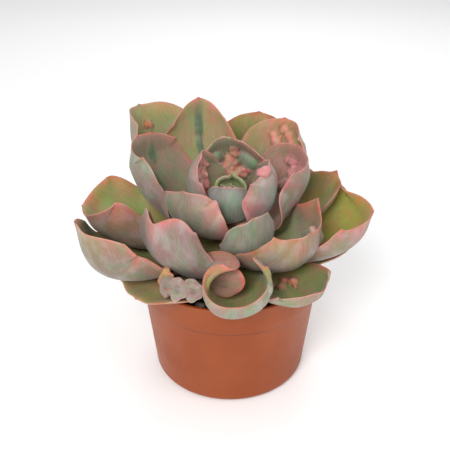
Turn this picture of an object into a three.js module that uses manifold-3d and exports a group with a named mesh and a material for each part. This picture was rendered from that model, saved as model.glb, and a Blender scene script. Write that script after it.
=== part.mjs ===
// A potted succulent: a rosette of cupped, frilled echeveria leaves in a round plastic plant pot.
// Millimetres, +Z up. X runs to the viewer's right, Y away from the viewer, and the pot stands on z = 0.
import * as THREE from "three";
import { mergeVertices } from "three/addons/utils/BufferGeometryUtils.js";
import Module from "manifold-3d";

const wasm = await Module();
wasm.setup();
const { Manifold, Mesh } = wasm;

const CLEAR = 0.3; // left between pieces that touch

// ---- Pot: a 12 cm moulded plant pot ----
const RIM_RADIUS = 60; // outside, at the top edge
const POT_HEIGHT = 79;
const BASE_RADIUS = 52; // outside, where the rounded foot ends
const FOOT_ROUND = 5; // radius of the rounded bottom edge
const BAND_HEIGHT = 60; // the wall steps out here to the rim band
const BAND_STEP = 0.7;
const WALL = 1.6;
const FLOOR = 4;
const POT_SIDES = 48;
const SLOTS = 6; // drain channels across the foot, with a hole in each
const SLOT_WIDTH = 17;
const SLOT_DEPTH = 3;
const SLOT_START = 25; // the middle of the base stays flat out to here
const SLOT_TURN = 261; // degrees, the channel that faces the viewer
const DRAIN_AT = 33;
const DRAIN_RADIUS = 4;
const DRAIN_SIDES = 16;
const OUTER_EDGE = 0.7; // bevel of the top edge outside
const INNER_EDGE = 0.5; // and inside
const FOOT_STEPS = 4; // flats round the foot's curve

// ---- Soil, a pebble on it, and the stem ----
const SOIL_TOP = 71;
const SOIL_SIDES = 32;
const SOIL_RINGS = [50, 42, 32, 18]; // radii of the rings of crumbs on top
const CRUMB = 0.5; // how far the crumbs rise and dip
const CRUMB_WAVES = [1.9, 2.3]; // radians per mm, so that neighbouring crumbs differ
const PEBBLE = { x: -18.5, y: -43, across: 3.4, high: 2.2, rise: 0.2 };
const STEM_SIDES = 14;
const STEM_PROFILE = [
  // radius, height; it stands in a plain hole in the soil
  [6.4, 40],
  [6.4, 84],
  [5.4, 96],
  [3, 104],
  [1.6, 110],
  [1.2, 113],
];

// ---- Leaves ----
const ROWS = 8; // quads along a leaf
const COLUMNS = 6; // quads across it
const THICKNESS = 4.2; // in the middle of a leaf
const STALK = 0.45; // share of the thickness at the stem
const RIM_SHARE = 0.38; // share of it at the rim
const NECK = 0.2; // share of the width at the base
const WIDEST = 0.5; // share of the length where the full width starts
const ROUNDNESS = 0.7; // 1 is an elliptical tip, less is squarer
const TIP_POINT = 0.7; // the small point at the tip
const TIP_SPREAD = 0.2; // share of the width that the point takes
const TIP_START = 0.6; // where it starts, from 0 at the widest place to 1 at the tip
const BASE_FOLD = 20; // degrees, how far the sides turn up near the stem
const FOLD_DONE = 0.85; // share of the way to the widest place where the sides are fully turned up
const ROOTED = 0.6; // how far a leaf's base reaches into the stem's outline
const STALK_END = 0.35; // share of the length where the full thickness starts
const TAPER = 0.2; // share of the thickness lost towards the tip

// The leaves run from the heart outwards.
// turn: direction in degrees, 0 to the right and 90 away from the viewer.
// base: height on the stem. spine: [distance from the stem's axis, height, sideways] along the rest of
//   the midrib, where sideways is to the left of a look outwards from the stem.
// half: half widths along the surface, to the left and right of a look outwards from the stem.
// fold: how far each side has turned up at its rim, in degrees.
// bulges: [place round the rim, mm outwards, spread]; 0 is the tip, 1 the left side, -1 the right side.
// widest: share of the length where the full width starts, where it isn't WIDEST.
// steady: how much of the midrib's curve the raised sides leave out, so that high sides don't cross.
// knobs: growths on the inner face, each as
//   [share along, share across, radius along, radius across, height, lean in degrees].
const LEAVES = [
  {
    name: "leaf_heart_bud", turn: 80, base: 110.5, spine: [[8, 121], [9, 131], [3, 138]],
    half: [16, 16], fold: [100, 100], thickness: 3,
  },
  {
    name: "leaf_heart_front", turn: 262, base: 109.2, spine: [[12, 114], [15, 126], [11, 138]],
    half: [20, 20], fold: [75, 75], bulges: [[0, -2, 0.25]],
  },
  {
    name: "leaf_heart_right", turn: 350, base: 107, spine: [[17, 111], [28, 125], [30, 141], [25, 151]],
    half: [27, 27], fold: [70, 100], roundness: 0.6, steady: 0.3,
    knobs: [[0.76, -0.8, 4.6, 3.6, 3.6, 0], [0.63, -0.9, 3.4, 3, 3, 0]],
  },
  {
    name: "leaf_heart_left", turn: 160, base: 106.5, spine: [[15, 111], [25, 124], [26, 141], [19, 151]],
    half: [26, 30], fold: [95, 75],
    knobs: [
      [0.62, -0.1, 3.6, 3.4, 3.4, 0], [0.73, 0.08, 3.8, 3.4, 3.6, 0], [0.83, -0.12, 3.4, 3.4, 3.4, 0],
      [0.93, 0.04, 3, 3, 3, 0],
    ],
  },
  {
    name: "leaf_heart_back", turn: 81, base: 105.5, spine: [[14, 112], [21, 130], [21, 146], [14, 157]],
    half: [25, 23], fold: [65, 60],
    knobs: [
      [0.55, 0, 4.4, 4, 4, 0], [0.68, 0.08, 4, 4, 3.8, 0], [0.8, -0.06, 3.4, 3.4, 3.2, 0],
      [0.62, -0.32, 3.6, 3.2, 3, 0], [0.62, 0.22, 3.4, 3, 2.8, 0],
    ],
  },
  {
    name: "leaf_mid_front_left", turn: 250, base: 103.5,
    spine: [[20, 105, -6], [32, 113, -14], [38, 126, -19], [36, 138, -20]],
    half: [25, 28], fold: [64, 72], roundness: 0.6, bulges: [[0.45, 4, 0.3]],
  },
  {
    name: "leaf_mid_front_right", turn: 288, base: 102, spine: [[22, 95], [36, 98], [43, 112], [41, 129]],
    half: [26, 22], fold: [78, 82], bulges: [[0.28, 4, 0.2], [-0.4, -1, 0.3]],
  },
  {
    name: "leaf_mid_right", turn: 30, base: 101, spine: [[26, 101], [45, 113], [54, 131], [53, 148]],
    half: [33, 46], fold: [55, 98], steady: 0.4, bulges: [[-0.6, 5, 0.35]],
    knobs: [
      [0.62, 0.1, 4, 3.6, 3.6, 0], [0.74, 0, 3.6, 3.6, 3.4, 0], [0.84, 0.16, 3.2, 3, 3, 0],
      [0.66, -0.26, 3.2, 3, 2.8, 0],
    ],
  },
  {
    name: "leaf_mid_left", turn: 158, base: 100, spine: [[30, 104], [56, 118], [69, 138], [67, 156]],
    half: [42, 36], fold: [108, 60], roundness: 0.75, steady: 0.5,
    bulges: [[0.65, 4, 0.35], [-0.4, 3, 0.3]],
    knobs: [[0.62, -0.15, 8, 1.8, 1.8, 0], [0.72, 0.05, 6, 1.6, 1.6, 0]],
  },
  {
    name: "leaf_mid_back_left", turn: 112, base: 99, spine: [[26, 110], [42, 134], [52, 157], [54, 171]],
    half: [31, 25], fold: [40, 70], roundness: 1.1,
    knobs: [[0.66, 0.03, 11, 2.2, 2.4, 0], [0.5, -0.06, 6, 2, 2, 0]],
  },
  {
    name: "leaf_mid_back_right", turn: 58, base: 98, spine: [[26, 104], [48, 120], [63, 139], [68, 154]],
    half: [28, 38], fold: [55, 112],
    knobs: [
      [0.74, -0.1, 4.6, 4.2, 4.2, 0], [0.84, -0.28, 4, 3.8, 3.8, 0], [0.7, -0.38, 4, 3.6, 3.6, 0],
      [0.83, 0.12, 3.6, 3.6, 3.4, 0], [0.93, -0.05, 3, 3, 3, 0],
    ],
  },
  {
    name: "leaf_outer_back_left", turn: 139, base: 96.5, spine: [[34, 102], [57, 123], [73, 146], [80, 165]],
    half: [29, 34], fold: [100, 58], bulges: [[0.45, 5, 0.3], [-0.5, 4, 0.3]],
    knobs: [[0.74, 0.1, 3, 2.8, 3, 0], [0.81, -0.06, 2.8, 2.6, 2.8, 0]],
  },
  {
    name: "leaf_outer_back", turn: 75, base: 95.5, spine: [[34, 100], [54, 121], [68, 140], [74, 154]],
    half: [30, 30], fold: [60, 60],
  },
  {
    name: "leaf_outer_front_left", turn: 238, base: 94,
    spine: [[34, 86, -3], [55, 90, -7], [67, 107, -9], [69, 126, -9], [63, 138, -9]],
    half: [29, 31], fold: [95, 108], bulges: [[0.42, 5, 0.25], [0, -10, 0.2], [-0.5, 4, 0.3]],
  },
  {
    name: "leaf_outer_front_right", turn: 318, base: 93, spine: [[32, 89], [52, 94], [62, 106], [62, 121]],
    half: [48, 36], fold: [104, 86], widest: 0.48, steady: 0.9,
    bulges: [[-0.55, 4, 0.3], [0.75, 3, 0.3]],
    knobs: [
      [0.6, 0.05, 7, 2, 3, 0], [0.62, 0.19, 7.5, 2, 3.4, 0], [0.63, 0.33, 7.5, 2, 3.4, 0],
      [0.62, 0.47, 6.5, 2, 3, 0],
    ],
  },
  {
    name: "leaf_outer_right_back", turn: 23, base: 92, spine: [[34, 95], [56, 104], [70, 115], [76, 126]],
    half: [25, 25], fold: [60, 60], bulges: [[0, 2, 0.12]],
  },
  {
    name: "leaf_outer_right", turn: 355, base: 91, spine: [[38, 89], [64, 96], [80, 107], [86, 119]],
    half: [44, 40], fold: [95, 85], bulges: [[0.6, 6, 0.3]],
  },
  {
    name: "leaf_outer_left", turn: 185, base: 90, spine: [[36, 91], [64, 96], [84, 108], [92, 121]],
    half: [44, 40], fold: [115, 78], widest: 0.6, steady: 0.5,
    bulges: [[0.6, 5, 0.35], [-0.6, 5, 0.3]],
  },
  {
    name: "leaf_low_left", turn: 203, base: 88.5, spine: [[40, 83], [70, 85], [91, 99], [97, 126]],
    half: [40, 30], fold: [90, 70], widest: 0.6, bulges: [[0.5, 5, 0.25]],
    knobs: [[0.56, 0.8, 3.6, 3, 2.6, 0], [0.47, 0.72, 3, 2.6, 2.2, 0]],
  },
  {
    name: "leaf_low_front", turn: 271, base: 87, spine: [[36, 83], [58, 82], [74, 85], [80, 96]],
    half: [50, 52], fold: [138, 198], widest: 0.6, steady: 1, bulges: [[0.75, 4, 0.25]],
  },
  {
    name: "leaf_low_frilled", turn: 241, base: 84.5, spine: [[30, 85], [50, 87], [63, 91], [68, 96]],
    half: [20, 18], fold: [50, 50],
    knobs: [
      [0.9, 0.7, 7.5, 6.5, 2.2, 55], [0.93, 0.1, 8, 6.5, 2.2, 65], [0.88, -0.5, 7, 6, 2.2, 50],
      [0.78, -0.95, 11, 5.5, 2, 30],
    ],
  },
  {
    name: "leaf_low_back_left", turn: 165, base: 86.5, spine: [[34, 90], [54, 98], [68, 108], [74, 116]],
    half: [27, 27], fold: [60, 60],
  },
  {
    name: "leaf_outer_back_right", turn: 48, base: 85.5, spine: [[36, 88], [56, 96], [72, 108], [80, 118]],
    half: [27, 27], fold: [60, 60],
  },
  {
    name: "leaf_low_front_right", turn: 308, base: 83.5, spine: [[36, 82], [58, 82.5], [74, 87], [79, 95]],
    half: [29, 29], fold: [60, 60], widest: 0.62,
    knobs: [[0.56, -0.02, 3, 2.8, 2.6, 0], [0.58, 0.3, 3.2, 3, 2.8, 0]],
  },
  {
    name: "leaf_low_front_left", turn: 222, base: 82.5, spine: [[36, 82], [58, 82], [74, 84]],
    half: [31, 31], fold: [40, 40], widest: 0.62,
  },
  {
    name: "leaf_low_back", turn: 100, base: 81.5, spine: [[40, 88], [62, 98], [80, 114], [88, 126]],
    half: [29, 29], fold: [60, 60],
  },
  {
    name: "leaf_bottom_back_left", turn: 142, base: 80.5, spine: [[38, 83], [60, 88], [80, 98]],
    half: [29, 29], fold: [50, 50],
  },
  {
    name: "leaf_bottom_right", turn: 5, base: 80, spine: [[38, 82], [60, 85], [78, 91]],
    half: [29, 29], fold: [50, 50],
  },
  {
    name: "leaf_bottom_back", turn: 75, base: 79, spine: [[38, 81], [60, 84], [80, 94]],
    half: [28, 28], fold: [40, 40],
  },
  {
    name: "leaf_bottom_left", turn: 188, base: 78.5, spine: [[38, 81], [60, 82.5], [76, 88]],
    half: [28, 28], fold: [40, 40],
  },
];

// ---- Bending the leaves clear of each other ----
const BEND_PASSES = 80;
const SWEEPS = 3; // how often each pass evens out the bending
const BEND_GAP = 1; // aimed at between two blades
const BEND_REACH = 3.5; // a blade is felt this far sideways of a point
const BEND_DEPTH = 9; // and this far through
const BEND_BOX = 4; // margin of the quick test for leaves that are near each other
const STIFFNESS = 0.4; // how much of the unevenness each sweep takes away
const LAST_PASSES = 8; // the last passes are softer, so that the blades end clear of each other
const LAST_STIFFNESS = 0.12;
const HELD = 0.14; // share of the length near the stem that stays where it grew
const OVER_RIM = 0.9; // left above the pot's edge and the soil
const EDGE_INSIDE = 9; // the pot's edge is felt this far inside its rim
const EDGE_OUTSIDE = 5; // and this far outside
const SIMPLIFY = 0.06; // how far a leaf's surface may move where the cuts leave needless small facets

const WIDE = COLUMNS + 1;
const POINTS = (ROWS + 1) * WIDE;
const KNOB = new THREE.OctahedronGeometry(1, 1);
const BALL = new THREE.SphereGeometry(1, 8, 6);
const rad = THREE.MathUtils.degToRad;

const ease = (x) => THREE.MathUtils.smoothstep(x, 0, 1);

// The outside of the pot's wall at a height, on its rim band.
function wallRadius(height) {
  const share = (height - FOOT_ROUND) / (POT_HEIGHT - FOOT_ROUND);
  return THREE.MathUtils.lerp(BASE_RADIUS, RIM_RADIUS, share);
}

function stemRadius(height) {
  const next = STEM_PROFILE.findIndex(([, top]) => top > height);
  const [lowRadius, low] = STEM_PROFILE[next - 1];
  const [highRadius, high] = STEM_PROFILE[next];
  return THREE.MathUtils.mapLinear(height, low, high, lowRadius, highRadius);
}

// ---- Solids ----
function solidOf(geometry) {
  const bare = new THREE.BufferGeometry();
  bare.setAttribute("position", geometry.getAttribute("position"));
  bare.setIndex(geometry.index);
  const merged = mergeVertices(bare, 1e-4);
  const corners = [];
  for (let i = 0; i < merged.index.count; i += 3) {
    const [a, b, c] = merged.index.array.slice(i, i + 3);
    if (a !== b && b !== c && c !== a) corners.push(a, b, c);
  }
  return new Manifold(
    new Mesh({
      numProp: 3,
      vertProperties: merged.getAttribute("position").array,
      triVerts: new Uint32Array(corners),
    }),
  );
}

function geometryOf(solid) {
  const mesh = solid.getMesh();
  const geometry = new THREE.BufferGeometry();
  geometry.setAttribute("position", new THREE.BufferAttribute(mesh.vertProperties, mesh.numProp));
  geometry.setIndex(new THREE.BufferAttribute(mesh.triVerts, 1));
  geometry.computeVertexNormals();
  return geometry;
}

// A profile of [radius, height] turned round the upright axis.
function turned(profile, sides) {
  const points = profile.map(([radius, height]) => new THREE.Vector2(radius, height));
  return new THREE.LatheGeometry(points, sides).rotateX(Math.PI / 2);
}

// ---- Pot ----
function footArc(radius, round, lift) {
  const arc = [];
  for (let step = 0; step <= FOOT_STEPS; step++) {
    const angle = (step / FOOT_STEPS) * (Math.PI / 2);
    arc.push([radius - round + round * Math.sin(angle), lift + round * (1 - Math.cos(angle))]);
  }
  return arc;
}

// A drain channel across the foot, and the hole in it.
function drainCut(turn) {
  const length = RIM_RADIUS - SLOT_START;
  const channel = new THREE.BoxGeometry(length, SLOT_WIDTH, 2 * SLOT_DEPTH);
  channel.translate(SLOT_START + length / 2, 0, 0);
  const hole = new THREE.CylinderGeometry(DRAIN_RADIUS, DRAIN_RADIUS, 4 * FLOOR, DRAIN_SIDES);
  hole.rotateX(Math.PI / 2).translate(DRAIN_AT, 0, 0);
  return solidOf(channel.rotateZ(turn)).add(solidOf(hole.rotateZ(turn)));
}

function potSolid() {
  const below = (height) => wallRadius(height) - BAND_STEP;
  const inside = (height) => below(height) - WALL;
  const profile = [
    [0, 0],
    ...footArc(below(FOOT_ROUND), FOOT_ROUND, 0),
    [below(BAND_HEIGHT), BAND_HEIGHT],
    [wallRadius(BAND_HEIGHT + BAND_STEP), BAND_HEIGHT + BAND_STEP],
    [RIM_RADIUS, POT_HEIGHT - OUTER_EDGE],
    [RIM_RADIUS - OUTER_EDGE, POT_HEIGHT],
    [inside(POT_HEIGHT) + INNER_EDGE, POT_HEIGHT],
    [inside(POT_HEIGHT), POT_HEIGHT - INNER_EDGE],
    ...footArc(inside(FOOT_ROUND), FOOT_ROUND - WALL, FLOOR).reverse(),
    [0, FLOOR],
  ];
  let pot = solidOf(turned(profile, POT_SIDES));
  for (let slot = 0; slot < SLOTS; slot++) {
    pot = pot.subtract(drainCut(rad(SLOT_TURN + (slot * 360) / SLOTS)));
  }
  return pot;
}

// ---- Soil, pebble and stem ----
function pebbleSolid(extra) {
  const pebble = BALL.clone().scale(PEBBLE.across + extra, PEBBLE.across + extra, PEBBLE.high + extra);
  return solidOf(pebble.translate(PEBBLE.x, PEBBLE.y, SOIL_TOP + PEBBLE.rise));
}

function stemSolid(extra) {
  const [, foot] = STEM_PROFILE[0];
  const [, top] = STEM_PROFILE.at(-1);
  const side = STEM_PROFILE.map(([radius, height]) => [radius + extra, height]);
  side[0][1] -= extra;
  side.at(-1)[1] += extra;
  return solidOf(turned([[0, foot - extra], ...side, [0, top + extra]], STEM_SIDES));
}

function soilSolid() {
  const edge = (height) => wallRadius(height) - BAND_STEP - WALL - CLEAR;
  const low = FLOOR + CLEAR;
  const profile = [
    [0, low],
    ...footArc(edge(FOOT_ROUND), FOOT_ROUND - WALL, low),
    [edge(SOIL_TOP), SOIL_TOP],
    ...SOIL_RINGS.map((radius) => [radius, SOIL_TOP]),
    [0, SOIL_TOP],
  ];
  const crumbled = turned(profile, SOIL_SIDES);
  const points = crumbled.getAttribute("position");
  const [wave, crossWave] = CRUMB_WAVES;
  for (let i = 0; i < points.count; i++) {
    const [x, y, z] = [points.getX(i), points.getY(i), points.getZ(i)];
    const onTop = z > SOIL_TOP - CLEAR && Math.hypot(x, y) < edge(SOIL_TOP) - CLEAR;
    const rise = CRUMB * (Math.sin(wave * x) + Math.cos(crossWave * y - x));
    if (onTop) points.setZ(i, z + rise);
  }
  return solidOf(crumbled).subtract(stemSolid(CLEAR)).subtract(pebbleSolid(CLEAR));
}

// ---- Leaf blades: a sheet of points down the middle of each blade ----
function bladeSheet(leaf) {
  const turn = rad(leaf.turn);
  const outwards = new THREE.Vector3(Math.cos(turn), Math.sin(turn), 0);
  const left = new THREE.Vector3(-Math.sin(turn), Math.cos(turn), 0);
  const midrib = [[stemRadius(leaf.base) - ROOTED, leaf.base], ...leaf.spine];
  const spine = new THREE.CatmullRomCurve3(
    midrib.map(([distance, height, sideways = 0]) => (
      outwards.clone().multiplyScalar(distance).addScaledVector(left, sideways).setZ(height)
    )),
    false,
    "catmullrom",
    0.5,
  );
  const straight = spine.getPoint(1).sub(spine.getPoint(0)).normalize();
  const bend = (leaf.roundness ?? ROUNDNESS) / 2;
  const widest = leaf.widest ?? WIDEST;
  const thickness = leaf.thickness ?? THICKNESS;
  const sheet = { leaf, at: new Float64Array(3 * POINTS), half: new Float64Array(POINTS) };

  for (let row = 0; row <= ROWS; row++) {
    for (let column = 0; column <= COLUMNS; column++) {
      const index = row * WIDE + column;
      const along = row / ROWS;
      const across = (2 * column) / COLUMNS - 1;
      // Past the widest place the rows close in to a rounded tip.
      const cap = Math.max((along - widest) / (1 - widest), 0);
      const side = along < widest
        ? across * (NECK + (1 - NECK) * ease(along / widest))
        : across * (1 - (cap * cap) / 2) ** bend;
      const share = along < widest
        ? along
        : widest + (1 - widest) * cap * (1 - (across * across) / 2) ** bend;

      const tangent = spine.getTangentAt(share);
      tangent.lerp(straight, (leaf.steady ?? 0) * Math.abs(side)).normalize();
      const level = left.clone().addScaledVector(tangent, -left.dot(tangent)).normalize();
      const lift = new THREE.Vector3().crossVectors(tangent, level);
      const which = side > 0 ? 0 : 1;
      const full = rad(leaf.fold[which]);
      const fold = rad(BASE_FOLD) + (full - rad(BASE_FOLD)) * ease(share / (FOLD_DONE * widest));
      const angle = fold * Math.abs(side);
      const half = leaf.half[which];
      const point = spine.getPointAt(share);
      point.addScaledVector(level, (Math.sign(side) * half * Math.sin(angle)) / fold);
      point.addScaledVector(lift, (half * (1 - Math.cos(angle))) / fold);

      // Bulges push the rim outwards in the blade's own surface.
      const rim = Math.max(Math.abs(across), cap);
      const place = Math.atan2(across, cap) / (Math.PI / 2);
      const rimward = level.clone().multiplyScalar(Math.sign(side) * Math.cos(angle));
      rimward.addScaledVector(lift, Math.sin(angle));
      for (const [centre, reach, spread] of leaf.bulges ?? []) {
        const amount = reach * Math.exp(-(((place - centre) / spread) ** 2)) * rim * rim;
        point.addScaledVector(tangent, amount * Math.cos((place * Math.PI) / 2));
        point.addScaledVector(rimward, amount * Math.abs(Math.sin((place * Math.PI) / 2)));
      }
      const pointed = ease((cap - TIP_START) / (1 - TIP_START));
      const central = Math.exp(-((across / TIP_SPREAD) ** 2));
      point.addScaledVector(tangent, TIP_POINT * pointed * central);

      point.toArray(sheet.at, 3 * index);
      const stalk = THREE.MathUtils.lerp(STALK, 1, ease(along / STALK_END));
      const thinned = 1 - (1 - RIM_SHARE) * rim ** 3;
      sheet.half[index] = (thickness / 2) * stalk * (1 - TAPER * share) * thinned;
    }
  }
  sheet.grown = sheet.at.slice();
  return sheet;
}

// Unit normals on the inner face's side, from the neighbours along and across. At the two corners of
// the tip both of those run along the rim, so the normal next to each corner stands in for it.
function sheetNormals(at) {
  const normals = new Float64Array(at.length);
  for (let lastRow = 0; lastRow <= ROWS; lastRow++) {
    for (let lastColumn = 0; lastColumn <= COLUMNS; lastColumn++) {
      const corner = lastRow === ROWS && lastColumn % COLUMNS === 0;
      const row = corner ? ROWS - 1 : lastRow;
      const column = corner ? THREE.MathUtils.clamp(lastColumn, 1, COLUMNS - 1) : lastColumn;
      const before = Math.max(row - 1, 0) * WIDE + column;
      const after = Math.min(row + 1, ROWS) * WIDE + column;
      const rightward = row * WIDE + Math.max(column - 1, 0);
      const leftward = row * WIDE + Math.min(column + 1, COLUMNS);
      const along = new THREE.Vector3().fromArray(at, 3 * after);
      along.sub(new THREE.Vector3().fromArray(at, 3 * before));
      const across = new THREE.Vector3().fromArray(at, 3 * leftward);
      across.sub(new THREE.Vector3().fromArray(at, 3 * rightward));
      along.cross(across).normalize().toArray(normals, 3 * (lastRow * WIDE + lastColumn));
    }
  }
  return normals;
}

// Values on a sheet, with one more between each two.
function denser(values, size) {
  const wide = 2 * COLUMNS + 1;
  const out = new Float64Array((2 * ROWS + 1) * wide * size);
  for (let row = 0; row <= 2 * ROWS; row++) {
    for (let column = 0; column < wide; column++) {
      const rows = [Math.floor(row / 2), Math.ceil(row / 2)];
      const columns = [Math.floor(column / 2), Math.ceil(column / 2)];
      for (let part = 0; part < size; part++) {
        let sum = 0;
        for (const r of rows) for (const c of columns) sum += values[(r * WIDE + c) * size + part];
        out[(row * wide + column) * size + part] = sum / 4;
      }
    }
  }
  return out;
}

function readySheet(sheet) {
  const normals = denser(sheetNormals(sheet.at), 3);
  for (let i = 0; i < normals.length; i += 3) {
    const length = Math.hypot(normals[i], normals[i + 1], normals[i + 2]);
    for (let axis = 0; axis < 3; axis++) normals[i + axis] /= length;
  }
  sheet.samples = denser(sheet.at, 3);
  sheet.sampleNormals = normals;
  sheet.sampleHalf = denser(sheet.half, 1);
  sheet.box = new THREE.Box3().setFromArray(sheet.samples).expandByScalar(BEND_BOX);
  sheet.push = new Float64Array(3 * POINTS);
  sheet.pushes = new Float64Array(POINTS);
}

// Pushes a sheet's points off another's inner face (side 1) or outer face (side -1).
function pushOff(sheet, other, side) {
  const { samples, sampleNormals, sampleHalf, box } = other;
  const point = new THREE.Vector3();
  for (let index = 0; index < POINTS; index++) {
    point.fromArray(sheet.at, 3 * index);
    if (!box.containsPoint(point)) continue;
    let nearest = 0;
    let least = Infinity;
    for (let i = 0; i < sampleHalf.length; i++) {
      const x = point.x - samples[3 * i];
      const y = point.y - samples[3 * i + 1];
      const z = point.z - samples[3 * i + 2];
      const square = x * x + y * y + z * z;
      if (square < least) {
        least = square;
        nearest = i;
      }
    }
    const normal = new THREE.Vector3().fromArray(sampleNormals, 3 * nearest).multiplyScalar(side);
    const away = point.clone().sub(new THREE.Vector3().fromArray(samples, 3 * nearest));
    const height = away.dot(normal);
    const sideways = Math.sqrt(Math.max(least - height * height, 0));
    const need = sheet.half[index] + sampleHalf[nearest] + BEND_GAP;
    if (sideways >= BEND_REACH || height >= need || height <= -BEND_DEPTH) continue;
    normal.multiplyScalar((need - height) / 2);
    sheet.push[3 * index] += normal.x;
    sheet.push[3 * index + 1] += normal.y;
    sheet.push[3 * index + 2] += normal.z;
    sheet.pushes[index] += 1;
  }
}

// Moves a sheet by its pushes, then evens out how far its points have moved.
function settle(sheet, stiffness) {
  const moved = new Float64Array(3 * POINTS);
  for (let i = 0; i < 3 * POINTS; i++) {
    const index = Math.floor(i / 3);
    const held = ease(Math.floor(index / WIDE) / ROWS / HELD);
    const push = (sheet.push[i] / Math.max(sheet.pushes[index], 1)) * held;
    moved[i] = sheet.at[i] + push - sheet.grown[i];
  }
  const between = (values, step, first, last) => values.map((value, i) => {
    const place = first(Math.floor(i / 3));
    return place === 0 || place === last ? value : (values[i - step] + values[i + step]) / 2;
  });
  for (let sweep = 0; sweep < SWEEPS; sweep++) {
    const evenAlong = between(moved, 3 * WIDE, (index) => Math.floor(index / WIDE), ROWS);
    const even = between(evenAlong, 3, (index) => index % WIDE, COLUMNS);
    for (let i = 0; i < 3 * POINTS; i++) moved[i] += (even[i] - moved[i]) * stiffness;
  }
  for (let i = 0; i < 3 * POINTS; i++) {
    const along = Math.floor(Math.floor(i / 3) / WIDE) / ROWS;
    sheet.at[i] = sheet.grown[i] + moved[i] * ease(along / HELD);
  }
  for (let index = 0; index < POINTS; index++) {
    const radius = Math.hypot(sheet.at[3 * index], sheet.at[3 * index + 1]);
    const floor = radius > RIM_RADIUS - EDGE_INSIDE ? POT_HEIGHT : SOIL_TOP;
    const least = floor + OVER_RIM + sheet.half[index];
    const height = sheet.at[3 * index + 2];
    if (radius < RIM_RADIUS + EDGE_OUTSIDE) sheet.at[3 * index + 2] = Math.max(height, least);
  }
}

function bendClear(sheets) {
  for (let pass = 0; pass < BEND_PASSES; pass++) {
    sheets.forEach(readySheet);
    sheets.forEach((inner, i) => sheets.slice(i + 1).forEach((outer) => {
      if (!inner.box.intersectsBox(outer.box)) return;
      pushOff(outer, inner, -1);
      pushOff(inner, outer, 1);
    }));
    const stiffness = pass < BEND_PASSES - LAST_PASSES ? STIFFNESS : LAST_STIFFNESS;
    sheets.forEach((sheet) => settle(sheet, stiffness));
  }
}

// ---- Leaf solids ----
// A closed blade on both sides of its sheet; extra thickens it and widens its rim.
function bladeSolid(sheet, extra) {
  const normals = sheetNormals(sheet.at);
  const corners = new Float32Array(6 * POINTS);
  for (let row = 0; row <= ROWS; row++) {
    for (let column = 0; column <= COLUMNS; column++) {
      const index = row * WIDE + column;
      const point = new THREE.Vector3().fromArray(sheet.at, 3 * index);
      const neighbours = [];
      if (column === 0) neighbours.push(index + 1);
      if (column === COLUMNS) neighbours.push(index - 1);
      if (row === 0) neighbours.push(index + WIDE);
      if (row === ROWS) neighbours.push(index - WIDE);
      const widened = point.clone();
      for (const neighbour of neighbours) {
        const outwards = point.clone().sub(new THREE.Vector3().fromArray(sheet.at, 3 * neighbour));
        widened.addScaledVector(outwards.normalize(), extra);
      }
      const normal = new THREE.Vector3().fromArray(normals, 3 * index);
      const half = sheet.half[index] + extra;
      widened.clone().addScaledVector(normal, half).toArray(corners, 3 * index);
      widened.clone().addScaledVector(normal, -half).toArray(corners, 3 * (POINTS + index));
    }
  }
  const triangles = [];
  for (let row = 0; row < ROWS; row++) {
    for (let column = 0; column < COLUMNS; column++) {
      const a = row * WIDE + column;
      const [b, c, d] = [a + 1, a + WIDE + 1, a + WIDE];
      triangles.push(a, c, b, a, d, c);
      triangles.push(POINTS + a, POINTS + b, POINTS + c, POINTS + a, POINTS + c, POINTS + d);
    }
  }
  const wall = (from, to) => triangles.push(from, to, POINTS + to, from, POINTS + to, POINTS + from);
  for (let row = 0; row < ROWS; row++) {
    wall((row + 1) * WIDE, row * WIDE);
    wall(row * WIDE + COLUMNS, (row + 1) * WIDE + COLUMNS);
  }
  for (let column = 0; column < COLUMNS; column++) {
    wall(column, column + 1);
    wall(ROWS * WIDE + column + 1, ROWS * WIDE + column);
  }
  return new Manifold(
    new Mesh({ numProp: 3, vertProperties: corners, triVerts: new Uint32Array(triangles) }),
  );
}

// A knob's place between the sheet's points, as a frame: along, across, off the face.
function faceFrame(sheet, along, across) {
  const row = along * ROWS;
  const column = ((across + 1) / 2) * COLUMNS;
  const r = Math.min(Math.floor(row), ROWS - 1);
  const c = Math.min(Math.floor(column), COLUMNS - 1);
  const corner = (i, j) => new THREE.Vector3().fromArray(sheet.at, 3 * (i * WIDE + j));
  const mix = (a, b, share) => a.lerp(b, share);
  const near = mix(corner(r, c), corner(r, c + 1), column - c);
  const far = mix(corner(r + 1, c), corner(r + 1, c + 1), column - c);
  const right = mix(corner(r, c), corner(r + 1, c), row - r);
  const left = mix(corner(r, c + 1), corner(r + 1, c + 1), row - r);
  const forward = far.clone().sub(near).normalize();
  const off = forward.clone().cross(left.clone().sub(right)).normalize();
  return { point: near.lerp(far, row - r), forward, off, half: sheet.half[r * WIDE + c] };
}

function knobSolid(sheet, knob, extra) {
  const [along, across, long, broad, high, lean] = knob;
  const { point, forward, off, half } = faceFrame(sheet, along, across);
  const sideways = off.clone().cross(forward);
  const frame = new THREE.Matrix4().makeBasis(forward, sideways, off);
  frame.setPosition(point.addScaledVector(off, half));
  frame.multiply(new THREE.Matrix4().makeRotationY(-rad(lean)));
  frame.scale(new THREE.Vector3(long + extra, broad + extra, high + extra));
  return solidOf(KNOB.clone().applyMatrix4(frame));
}

function leafSolid(sheet, extra) {
  const knobs = (sheet.leaf.knobs ?? []).map((knob) => knobSolid(sheet, knob, extra));
  return Manifold.union([bladeSolid(sheet, extra), ...knobs]);
}

function boxesMeet(a, b) {
  const [one, two] = [a.boundingBox(), b.boundingBox()];
  return [0, 1, 2].every((axis) => one.min[axis] < two.max[axis] && two.min[axis] < one.max[axis]);
}

function largestPart(solid) {
  const parts = solid.decompose();
  return parts.reduce((best, part) => (part.volume() > best.volume() ? part : best));
}

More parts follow.
